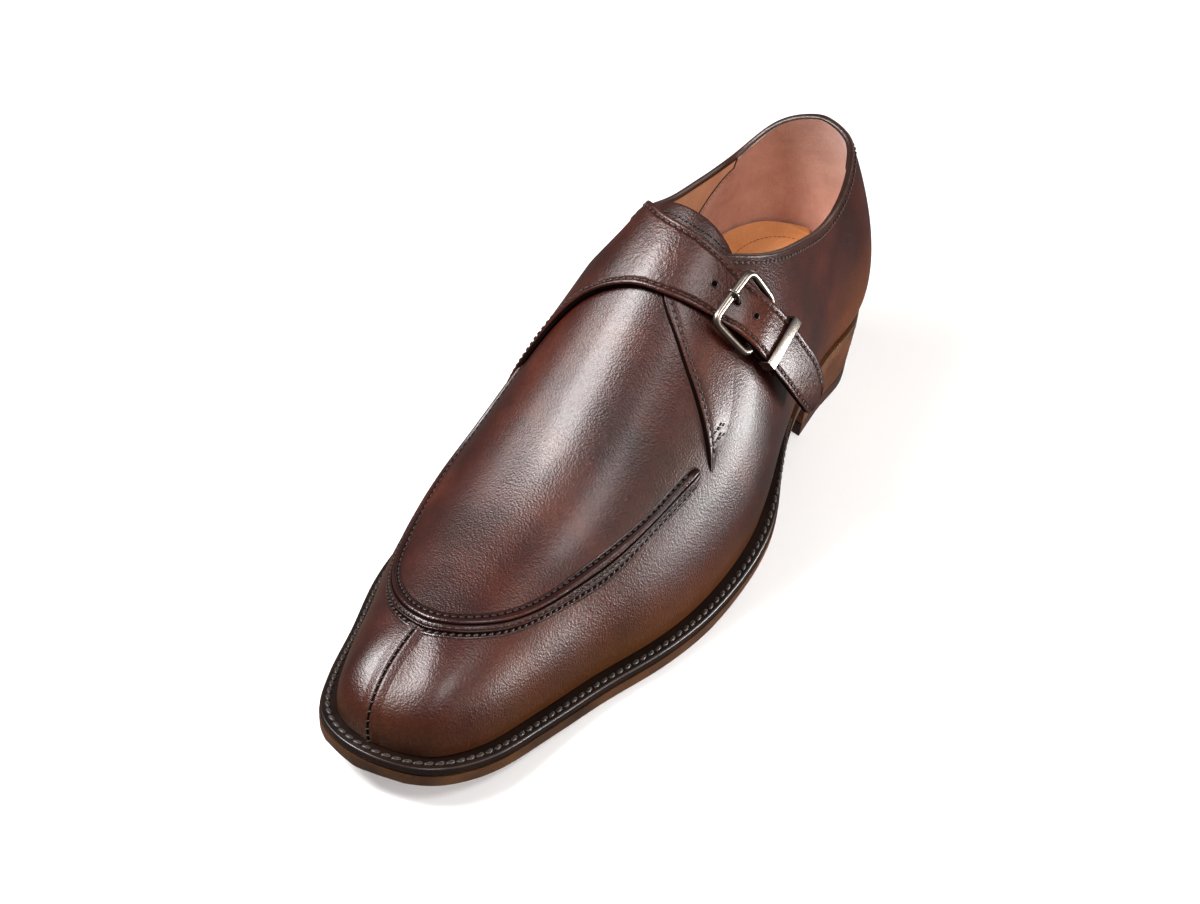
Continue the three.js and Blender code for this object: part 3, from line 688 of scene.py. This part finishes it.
def make_upper():
    """The calf outside. Also gives its surface, and its edges at the foot and the collar."""
    shell = copy_of_node("upper", "upper_leather")
    top_of_toe = at(0, 290, 36)
    keep_faces(shell, sheet_around(top_of_toe))
    subdivide(shell, 2)
    smooth(shell, 180)
    skin = Skin(shell)
    lines = sorted(boundary_lines(shell), key=lambda points: sum(p.z for p in points) / len(points))
    modify(shell, "SOLIDIFY", thickness=CALF_THICKNESS * MM, offset=-1)
    done(shell, CALF, "calf", "upper", angle=60)
    return skin, lines[0], lines[-1]


def make_lining(skin):
    """The lining faces the foot; a suede grip covers its back."""
    lining = copy_of_node("upper", "lining")
    place, normal = skin.touch(at(33, 40, 60))
    keep_faces(lining, sheet_around(place - normal * WALL_THICKNESS * MM))
    subdivide(lining, 2)
    inside = Skin(lining)
    grip = link("heel_grip", lining.data.copy())
    cut, facing = at(*GRIP_CUT), GRIP_CUT_FACING
    behind_cut = at(0, GRIP_CUT_STARTS, 0).y
    edit(grip, lambda: bpy.ops.mesh.bisect(plane_co=cut, plane_no=facing, threshold=0))
    keep_faces(grip, lambda mesh: {
        face for face in mesh.faces
        if (face.calc_center_median() - cut).dot(facing) < 0
        or face.calc_center_median().y > behind_cut})
    edit(grip, lambda: bpy.ops.mesh.bisect(
        plane_co=at(0, GRIP_ENDS, 60), plane_no=(0, -1, 0), clear_outer=True, threshold=0))
    edge = [p for p in max(boundary_lines(grip), key=len)
            if abs((p - cut).dot(facing)) < 0.05 * MM and p.y < behind_cut]
    for side, name in ((-1, "inner"), (1, "outer")):
        path = [inside.touch(p - facing * GRIP_STITCH_INSET * MM)[0]
                for p in edge if p.x * side > 0]
        path.sort(key=lambda p: p.y)
        row = sew(f"grip_stitches_{name}", eased(path, 6), inside, 2.2, (1.6, 0.5, 0.4), 0.55)
        done(row, SOCK_THREAD, "lining")
    for piece in (grip, lining):
        piece.data.materials.append(None)
        piece.data.materials.append(None)
    modify(grip, "SOLIDIFY", thickness=GRIP_THICKNESS * MM, offset=1, material_offset_rim=1)
    modify(lining, "SOLIDIFY", thickness=LINING_THICKNESS * MM, offset=-1, material_offset_rim=1)
    done(lining, LINING, "lining", angle=60, second=BINDING)
    done(grip, HEEL_GRIP, "lining", angle=60, second=BINDING)


def make_collar(skin, collar):
    """A bound rim round the opening, and its row of stitches."""
    line_round = eased(evenly(collar, 1.5, looped=True), 6, looped=True)
    limit = at(0, COLLAR_ENDS, 0).y
    hidden = [p.y < limit for p in line_round]
    start = next(k for k in range(len(hidden)) if hidden[k - 1] and not hidden[k])
    turned = line_round[start:] + line_round[:start]
    path = eased([p for p in turned if p.y >= limit], 10)
    count = len(path)
    rows = []
    for k, point in enumerate(path):
        place, normal = skin.touch(point)
        along = (path[min(k + 1, count - 1)] - path[max(k - 1, 0)]).normalized()
        rise = along.cross(normal).normalized()
        if rise.z < 0:
            rise.negate()
        centre = place - normal * WALL_THICKNESS / 2 * MM - rise * 0.6 * MM
        for turn in range(COLLAR_RIM_SIDES):
            angle = 2 * math.pi * turn / COLLAR_RIM_SIDES
            rows.append(centre + (normal * math.cos(angle) * COLLAR_RIM_THICK
                                  + rise * math.sin(angle) * COLLAR_RIM_HIGH) * MM)
    rim = mesh_of("collar_binding", rows, tube_faces(count, COLLAR_RIM_SIDES))
    edit(rim, lambda: bpy.ops.mesh.normals_make_consistent(inside=False))
    subdivide(rim, 1)
    done(rim, BINDING, "calf")
    below = eased([skin.touch(p)[0] for p in path], 4)
    lowered = []
    for k, point in enumerate(below):
        place, normal = skin.touch(point)
        along = (below[min(k + 2, count - 1)] - below[max(k - 2, 0)]).normalized()
        across = along.cross(normal).normalized()
        if across.z > 0:
            across.negate()
        lowered.append(skin.touch(place + across * COLLAR_STITCHES_BELOW * MM)[0])
    row = sew("collar_stitches", eased(lowered, 6), skin, 2.3, (1.5, 0.9, 0.7), 0.15)
    done(row, SEAM_THREAD, "calf")


APRON_INNER = line(
    (36, 173, 60), (34, 182, 57), (32, 194, 52), (29, 205, 49), (25.5, 216, 46), (22, 226, 44),
    (19, 236, 42), (15, 246, 42), (9, 254.5, 42), (3, 260, 43), (-4, 263.5, 43), (-11, 264, 42),
    (-18, 261, 41), (-25, 255, 38), (-31, 247, 35), (-35, 237, 36), (-38, 225, 37), (-41, 212, 39),
    (-42, 201, 41), (-42, 192, 44), (-41, 182, 50), (-38, 172, 58), (-34, 158, 70),
    ease=60)
APRON_OUTER = line(
    (40.5, 174, 54), (39, 182, 51), (37, 192, 48), (35, 200, 45), (31.5, 216, 39), (28.5, 227, 38),
    (25, 237, 38), (21, 247, 38), (15, 258, 38), (8, 266, 40), (1, 270.5, 40), (-8, 272.5, 40),
    (-16, 270, 38), (-24, 264, 36), (-31, 255, 32), (-37, 244, 30), (-41, 233, 31), (-44, 220, 34),
    (-46, 206, 34), (-47, 194, 38), (-46, 182, 45), (-44, 171, 52), (-40, 158, 64),
    ease=60)


APRON_MIDDLE = 0.45  # share across the seam, from its inner line to its outer one
APRON_RELIEF = 1.2
APRON_START_STEPS = 5  # the seam widens and rises over these


def make_apron_seam(skin):
    """The seam round the vamp's apron: an inner row, a raised ridge, a lap with its cut edge."""
    count = len(APRON_INNER)
    inner = [on_curve(APRON_INNER, k / (count - 1)) for k in range(count)]
    outer = [on_curve(APRON_OUTER, k / (count - 1)) for k in range(count)]
    inner_row = [(-0.10, -0.3), (-0.02, 0.12), (0.05, 0.28), (0.09, 0.1), (0.13, 0.1)]
    ridge = [(0.17, 0.5), (0.22, 0.95), (0.30, 1.25), (0.39, 1.2), (0.44, 0.9), (0.455, 0.55)]
    lap = [(0.47, 0.55), (0.49, 0.85), (0.54, 1.0), (0.60, 0.85), (0.63, 0.7), (0.66, 0.85),
           (0.72, 1.0), (0.755, 1.0), (0.775, 0.7), (0.785, 0.15)]
    skirt = [(0.84, 0.08), (0.90, 0.25), (0.97, 0.2), (1.05, -0.3)]

    def profile(share):
        start = min(1, share * count / APRON_START_STEPS)
        scale = math.sqrt(start * (2 - start))
        return [(APRON_MIDDLE + (u - APRON_MIDDLE) * (0.25 + 0.75 * scale),
                 h * APRON_RELIEF * scale if h > 0 else h)
                for u, h in inner_row + ridge + lap + skirt]

    # The dark columns are painted shade in the seam's three grooves: at the inner stitch row, at
    # the step below the ridge, and at the outer notch row
    seam = band("apron_seam", inner, outer, profile, skin, dark=(2, 3, 4, 9, 10, 11, 19, 20, 21))
    subdivide(seam, 1)
    done(seam, SEAM_CALF, "calf", angle=70, second=PAINTED_SHADE)
    rows = {"inner": (0.11, 2.5, (1.7, 0.8, 0.6), 0.2, SEAM_THREAD, 0),
            "lap": (0.63, 2.5, (1.6, 0.8, 0.6), 1.02, SEAM_THREAD, 0),
            "outer": (0.84, 2.4, (1.7, 1.0, 0.6), 0.18, THREAD, 35)}
    for name, (share, pitch, size, up, look, tilt) in rows.items():
        path = [a.lerp(b, share) for a, b in zip(inner, outer)][APRON_START_STEPS:]
        done(sew("apron_stitches_" + name, path, skin, pitch, size, up, tilt), look, "calf")


def make_toe_seam(skin):
    """The skirt's two rolled edges meet down the front of the toe."""
    path = line((-8, 270, 40.5), (-8.5, 278, 38), (-8.5, 285, 35.5), (-7.5, 291, 32),
                (-6.5, 296, 28.5), (-5.5, 299, 24), (-5, 300.5, 19), (-5, 300.5, 16.5), ease=20)

    def profile(share):
        swell = 1 - 0.35 * share
        return [(-4.4, -0.15), (-3.4, 0.06), (-2.4, 0.25 * swell), (-1.5, 0.5 * swell),
                (-0.8, 0.58 * swell), (-0.35, 0.4 * swell), (-0.18, 0.02), (0.18, 0.02),
                (0.35, 0.4 * swell), (0.8, 0.58 * swell), (1.5, 0.5 * swell),
                (2.4, 0.25 * swell), (3.4, 0.06), (4.4, -0.15)]

    # Columns 5 to 7, the groove where the two edges meet, take painted shade
    seam = ribbon("toe_seam", path, profile, skin, dark=(5, 6, 7))
    subdivide(seam, 1)
    done(seam, CALF, "calf", angle=70, second=PAINTED_SHADE)
    done(sew("toe_seam_stitches", path, skin, 2.7, (0.55, 1.7, 0.5), 0.4, 25), THREAD, "calf")


QUARTER_HEM = 2.4  # from its edge to beyond its stitches, in millimetres
QUARTER_STITCHES_IN = 2.0
QUARTER_FADES_OVER = 17  # behind its hem the quarter sinks back to the shoe's surface


def quarter_profile(thickness):
    """A lapped edge: a gap and the cut edge, both in painted shade, a hem for the stitches, a slope
    behind it.
    At its foot it narrows to a point and sinks in."""
    def profile(share):
        high = thickness * (1 - smooth_step((share - 0.84) / 0.18))
        foot = smooth_step((share - 0.72) / 0.28)
        hem = QUARTER_HEM * (1 - 0.75 * foot)
        slope = QUARTER_FADES_OVER * (1 - 0.75 * smooth_step((share - 0.4) / 0.6))
        slope *= 1 - 0.6 * foot
        sunk = 0.25 * smooth_step((share - 0.9) / 0.1)
        shape = [(-0.6, -0.3), (-0.45, 0.08), (0.0, 0.1), (0.02, high * 0.8)]
        shape += [(hem * u, high * h) for u, h in (
            (0.12, 1), (0.25, 1.05), (0.67, 1), (0.83, 0.86), (1, 0.96))]
        shape += [(hem + slope * u, high * h) for u, h in (
            (0.15, 0.9), (0.35, 0.62), (0.6, 0.28), (0.8, 0.09))]
        shape += [(hem + slope * 0.92, 0.015), (hem + slope, -0.06)]
        return [(across, up - sunk) for across, up in shape]
    return profile


def make_quarter_edges(skin):
    """The fronts of both quarters lie over the vamp; the inner one runs on from the strap."""
    outer = line((4, 146, 106), (7, 151, 101), (16, 156.5, 92), (22, 160, 85), (28, 163, 79),
                 (34, 166, 70), (38, 168.5, 62), (41.5, 171, 54), ease=20)
    inner = line((-39, 167, 60), (-43, 170, 46), (-45.5, 172.5, 36), (-47.5, 175, 27),
                 (-48.5, 177, 19), ease=8)
    for name, path, thickness, turn in (("quarter_edge_outer", outer, 1.35, -1),
                                        ("quarter_edge_inner", inner, 1.7, 1)):
        # Columns 0 to 3, the gap and the cut edge, take painted shade
        piece = ribbon(name, path, quarter_profile(thickness), skin, turn=turn, dark=(0, 1, 2, 3))
        done(piece, CALF, "calf", angle=60, second=PAINTED_SHADE)
        row = []
        for k, point in enumerate(path):
            place, normal = skin.touch(point)
            along = (path[min(k + 1, len(path) - 1)] - path[max(k - 1, 0)]).normalized()
            across = along.cross(normal).normalized() * turn
            row.append(place + across * QUARTER_STITCHES_IN * MM)
        above_foot = row[:-8]
        done(sew(name + "_stitches", above_foot, skin, 2.5, (1.6, 0.95, 0.7), thickness * 0.95),
             SEAM_THREAD, "calf")


def make_bar_tack(skin):
    """Short stitches that hold the foot of the outer quarter's edge."""
    for k, places in enumerate((((36.2, 166.5, 66), (37.4, 163, 67.5), (38.6, 159.5, 69)),
                                ((37.4, 168, 63.6), (38.8, 164.5, 65), (40.2, 161, 66.4)))):
        row = line(*places, step=0.5, ease=2)
        done(sew(f"bar_tack_{k + 1}", row, skin, 1.9, (1.6, 0.8, 0.7), 1.15), SEAM_THREAD, "calf")


# ---------------------------------------------------------------- strap and buckle

STRAP_REAR = [at(*p) for p in (
    (-33, 111, 70), (-30, 112, 88), (-24, 116, 105), (-16, 122, 115), (-5, 130, 118),
    (8, 131.5, 116), (17, 131, 111), (23.5, 130.5, 106.5), (30, 129.5, 102), (35.5, 128, 98),
    (39.5, 125, 93), (45.5, 121, 83), (50, 116.5, 73), (53, 113, 60))]
STRAP_FRONT = [at(*p) for p in (
    (-43, 170, 46), (-38, 167, 61), (-31, 160.5, 77), (-21, 155, 91), (-6, 151.5, 101),
    (8, 150.5, 102.5), (18, 148, 100), (25, 146, 96.5), (31, 144, 93.5), (37, 142.5, 89),
    (41, 140.5, 84), (46, 137, 76), (50, 131.5, 65.5), (52, 123, 53))]
STRAP_END = len(STRAP_REAR) - 1
TIP_LENGTH = 0.4  # the rounded tip, in stations
EDGE_THICKNESS = 1.5  # of the strap's start
HOLE_STATIONS = (6.15, 7.5, 8.45)
STRAP_SINKS = 0.9  # its base goes this far into the quarter


def strap_guide():
    """The top of the frame's strap, whole again where the prong goes through."""
    guide = copy_of_node("strap", "strap_guide")
    crest = (at(-5, 129.5, 118) + at(-6, 151.5, 102)) / 2 + Vector((0, 0, 4 * MM))
    keep_faces(guide, sheet_around(crest))
    edit(guide, lambda: bpy.ops.mesh.select_mode(type="EDGE"),
         lambda: bpy.ops.mesh.select_all(action="SELECT"),
         lambda: bpy.ops.mesh.fill_holes(sides=40))
    subdivide(guide, 1)
    surface = Skin(guide)
    bpy.data.objects.remove(guide)
    return surface


def strap_place(guide, station, share, up):
    """A point of the strap: across it from rear (0) to front (1), above its underside.
    Behind its front edge the strap's base sinks into the inner quarter."""
    where = station / STRAP_END
    rear, front = on_curve(STRAP_REAR, where), on_curve(STRAP_FRONT, where)
    place, normal = guide.touch(rear.lerp(front, share))
    top = BASE_THICKNESS + (STRAP_THICKNESS - BASE_THICKNESS) * smooth_step(station / 1.5)
    base = smooth_step(station / 1.6)
    rear_blend = max(smooth_step(share / 0.35), smooth_step((station - 2.2) / 1.3))
    stands = max(smooth_step((share - 0.8) / 0.17), min(base, rear_blend))
    return place + normal * ((up - top) * stands - (top + STRAP_SINKS) * (1 - stands)) * MM


def strap_width(station):
    where = station / STRAP_END
    return (on_curve(STRAP_REAR, where) - on_curve(STRAP_FRONT, where)).length / MM


def make_strap():
    """One leather strap: pressed in along both stitched edges, with a rounded tip."""
    guide = strap_guide()
    straight = STRAP_END - TIP_LENGTH
    count = round(straight * 8)
    stations = [straight * k / count for k in range(count + 1)]
    stations += [straight + TIP_LENGTH * q for q in (0.3, 0.55, 0.75, 0.88, 0.96)]
    edge = [(0, 0.1), (0, 0.7), (0.25, 0.93), (0.7, 1), (1.6, 1), (1.9, 0.86), (2.2, 0.86),
            (2.5, 1), (3.4, 1.03)]
    under = [(0.98, 0), (0.75, 0), (0.5, 0), (0.25, 0), (0.02, 0)]
    rows = []
    for station in stations:
        width = strap_width(station)
        past = max(0, (station - straight) / TIP_LENGTH)
        narrow = math.sqrt(1 - past * past)
        thick = EDGE_THICKNESS + (STRAP_THICKNESS - EDGE_THICKNESS) * smooth_step(station / 3)
        reach = [(min(u / width, 0.46), h * thick) for u, h in edge]
        top = reach + [(0.5, thick * 1.05)] + [(1 - u, h) for u, h in reversed(reach)]
        rows += [strap_place(guide, station, 0.5 + (u - 0.5) * narrow, h) for u, h in top + under]
    columns = len(rows) // len(stations)
    strap = mesh_of("strap_leather", rows, tube_faces(len(stations), columns))
    # Both cut edges and the underside of the strap take painted shade
    shaded_cut_edges = (0, len(top) - 2)
    shaded_underside = tuple(range(len(top) - 1, columns))
    second_finish(strap, columns, shaded_cut_edges + shaded_underside)
    edit(strap, lambda: bpy.ops.mesh.normals_make_consistent(inside=False))
    surface = Skin(strap)
    done(strap, STRAP_CALF, "calf", "strap", angle=55, second=PAINTED_SHADE)
    for name, front, first in (("strap_stitches_front", True, 0.1),
                               ("strap_stitches_rear", False, 2.9)):
        path = []
        for k in range(200):
            station = first + (straight - first) * k / 199
            share = STRAP_STITCHES_IN / strap_width(station)
            path.append(strap_place(guide, station, 1 - share if front else share,
                                    STRAP_THICKNESS))
        done(sew(name, path, surface, 2.6, (1.6, 1.0, 0.7), 0.2), SEAM_THREAD, "calf")
    for k, station in enumerate(HOLE_STATIONS):
        middle = strap_place(guide, station, 0.5, STRAP_THICKNESS)
        make_hole(f"strap_hole_{k + 1}", middle, surface)


def make_hole(name, place, surface):
    """A punched hole: a flat disc in near-black painted shade stands for its well, inside a pressed
    rim.
    """
    place, normal = surface.touch(place)
    turn = normal.to_track_quat("Z", "Y").to_euler()
    bpy.ops.object.select_all(action="DESELECT")
    bpy.ops.mesh.primitive_torus_add(
        major_segments=24, minor_segments=8, major_radius=(HOLE_RADIUS + 0.05) * MM,
        minor_radius=0.22 * MM, location=place, rotation=turn)
    rim = bpy.context.object
    rim.name = name + "_rim"
    bpy.ops.object.transform_apply(location=True, rotation=True, scale=True)
    done(rim, BINDING, "calf")
    bpy.ops.object.select_all(action="DESELECT")
    bpy.ops.mesh.primitive_circle_add(
        vertices=24, radius=HOLE_RADIUS * MM, fill_type="NGON",
        location=place + normal * 0.06 * MM, rotation=turn)
    shade_disc = bpy.context.object
    shade_disc.name = name
    bpy.ops.object.transform_apply(location=True, rotation=True, scale=True)
    edit(shade_disc, lambda: bpy.ops.mesh.inset(thickness=0.35 * MM, depth=-0.05 * MM))
    done(shade_disc, HOLE_SHADE, "calf")


def make_buckle():
    """The frame, its prong and the keeper, and the leather tab that holds the frame."""
    for node_name in ("buckle_frame", "buckle_prong"):
        piece = copy_of_node(node_name, node_name + "_polished")
        subdivide(piece, 2)
        done(piece, STEEL, "steel", node_name, angle=180)
    keeper = copy_of_node("strap_keeper", "keeper_band")
    edit(keeper, lambda: bpy.ops.mesh.dissolve_limited(angle_limit=math.radians(3)))
    soften(keeper, 0.32, 3)
    done(keeper, STEEL, "steel", "strap_keeper", angle=30)
    tab = copy_of_node("buckle_tab", "buckle_tab_leather")
    soften(tab, 0.3, 2)
    done(tab, STRAP_CALF, "calf", "buckle_tab", angle=40)


# ---------------------------------------------------------------- tongue, sock and sole


def make_tongue():
    """The tongue, with two rows of stitches along its top."""
    tongue = copy_of_node("tongue", "tongue_leather")
    soften(tongue, 0.5, 3, 40)
    subdivide(tongue, 1)
    surface = Skin(tongue)
    done(tongue, CALF, "calf", "tongue", angle=60)
    for k, back in enumerate((1.8, 4.0)):
        path = line((-17, 121 + back, 114), (-9, 124.5 + back, 119), (0, 127 + back, 120),
                    (10, 127 + back, 119), (18, 125 + back, 113))
        done(sew(f"tongue_stitches_{k + 1}", path, surface, 2.1, (1.5, 0.8, 0.6), 0.25),
             SEAM_THREAD, "calf")


def make_insole():
    """The sock over the insole, with two sewn rings at the heel."""
    sock = copy_of_node("insole", "sock")
    soften(sock, 0.4, 2)
    subdivide(sock, 2)
    surface = Skin(sock)
    done(sock, SOCK, "lining", "insole", angle=60)
    for name, across, back in (("sock_ring_outer", 18, 24), ("sock_ring_inner", 10, 13)):
        ring = [at(across * math.sin(turn) - 1, 36 - back * math.cos(turn), 46)
                for turn in (math.radians(a) for a in range(-100, 101, 4))]
        done(sew(name, ring, surface, 1.9, (1.5, 0.45, 0.35)), SOCK_THREAD, "lining")


def make_sole(skin, feather):
    """The welt and outsole, and the welt's stitches, which follow the upper's foot."""
    welt = copy_of_node("welt", "welt_leather")
    soften(welt, 0.35, 2, 35)
    subdivide(welt, 1)
    top = Skin(welt)
    done(welt, WELT_EDGE, "edge_leather", "welt", angle=60)
    outsole = copy_of_node("outsole", "outsole_leather")
    soften(outsole, 0.7, 2)
    subdivide(outsole, 2)
    done(outsole, SOLE, "sole_leather", "outsole", angle=60)
    around = eased(evenly(feather, 1.5, looped=True), 4, looped=True)
    row = []
    for point in around:
        normal = skin.touch(point)[1]
        out = Vector((normal.x, normal.y, 0)).normalized()
        row.append(point + out * WELT_STITCHES_OUT * MM)
    limit = at(0, WELT_STITCHES_END, 0).y
    hidden = [p.y > limit for p in row]
    start = next(k for k in range(len(row)) if hidden[k - 1] and not hidden[k])
    row = [p for p in row[start:] + row[:start] if p.y <= limit]
    done(sew("welt_stitches", eased(row, 6), top, 3.4, (3.1, 1.5, 1.1), 0.05, 12),
         WELT_THREAD, "edge_leather")


def make_heel():
    """The stack of leather layers, and the last layer's leather front and rubber back."""
    for node_name, name, look, slot in (
            ("heel_stack", "heel_lifts_leather", HEEL_LIFTS, "edge_leather"),
            ("heel_top_leather", "heel_top_front", HEEL_LEATHER, "sole_leather"),
            ("heel_top_rubber", "heel_top_back", RUBBER, "heel_rubber")):
        piece = copy_of_node(node_name, name)
        edit(piece, lambda: bpy.ops.mesh.dissolve_limited(angle_limit=math.radians(2)))
        soften(piece, 0.35, 2, 40)
        subdivide(piece, 2)
        done(piece, look, slot, node_name, angle=50)


skin, feather, collar = make_upper()
make_lining(skin)
make_collar(skin, collar)
make_apron_seam(skin)
make_toe_seam(skin)
make_quarter_edges(skin)
make_bar_tack(skin)
make_strap()
make_buckle()
make_tongue()
make_insole()
make_sole(skin, feather)
make_heel()


# ---------------------------------------------------------------- camera, light and floor


EYE = (214.5, -425.2, 447.6)
AIM = (-5, -13, 40)
ROLL = 4.44  # degrees
LENS = 53.4


def make_camera():
    """Looks down at the shoe from in front of the toe, on the outer side."""
    eye, aim = Vector(EYE) * MM, Vector(AIM) * MM
    data = bpy.data.cameras.new("camera")
    data.sensor_width = 36
    data.lens = LENS
    camera = bpy.data.objects.new("camera", data)
    bpy.context.scene.collection.objects.link(camera)
    turn = (aim - eye).to_track_quat("-Z", "Y").to_matrix()
    roll = Matrix.Rotation(math.radians(ROLL), 3, "Z")
    camera.matrix_world = Matrix.Translation(eye) @ (turn @ roll).to_4x4()
    bpy.context.scene.camera = camera


def softbox(name, place, aim, size, power, colour=(1, 1, 1)):
    """A rectangular light; its place, aim and size are in metres."""
    data = bpy.data.lights.new(name, "AREA")
    data.shape = "RECTANGLE"
    data.size, data.size_y = size
    data.energy = power
    data.color = colour
    lamp = bpy.data.objects.new(name, data)
    bpy.context.scene.collection.objects.link(lamp)
    place, aim = Vector(place), Vector(aim)
    lamp.location = place
    lamp.rotation_mode = "QUATERNION"
    lamp.rotation_quaternion = (aim - place).to_track_quat("-Z", "Y")
    lamp.visible_camera = False


def make_studio():
    """Soft lights over a pale floor; the fills from the outer side and the back are warm."""
    softbox("outer_side", (0.8, -0.05, 0.4), (0, 0, 0.06), (0.4, 0.4), 1.2, (1, 0.8, 0.66))
    softbox("low_card", (0.42, 0.155, 0.05), (0.04, 0.02, 0.04), (0.18, 0.1), 2.1)
    softbox("front_high", (-0.42, -0.33, 0.73), (0, 0, 0.06), (0.26, 0.3), 10)
    softbox("toe_high", (0.37, -0.2, 0.8), (0, 0, 0.06), (0.3, 0.24), 3)
    softbox("inner_side", (-0.7, -0.13, 0.54), (0, 0, 0.06), (0.3, 0.24), 2)
    softbox("back_fill", (0.1, 0.9, 0.5), (0, 0.05, 0.05), (0.7, 0.4), 2, (1, 0.88, 0.78))
    world = bpy.data.worlds.new("studio")
    bpy.context.scene.world = world
    world.use_nodes = True
    world.node_tree.nodes["Background"].inputs["Color"].default_value = (1, 0.95, 0.91, 1)
    world.node_tree.nodes["Background"].inputs["Strength"].default_value = 0.17
    bpy.ops.object.select_all(action="DESELECT")
    bpy.ops.mesh.primitive_plane_add(size=12)
    floor = bpy.context.object
    floor.name = "floor"
    look, _, shader, _ = material("studio_floor")
    shader.inputs["Base Color"].default_value = (0.62, 0.62, 0.62, 1)
    shader.inputs["Roughness"].default_value = 0.8
    shader.inputs["Emission Color"].default_value = (1, 1, 1, 1)
    shader.inputs["Emission Strength"].default_value = 0.3
    floor.data.materials.append(look)
    floor.visible_glossy = False
    bpy.context.scene.view_settings.view_transform = "Standard"
    bpy.context.scene.view_settings.look = "Medium High Contrast"


make_camera()
make_studio()
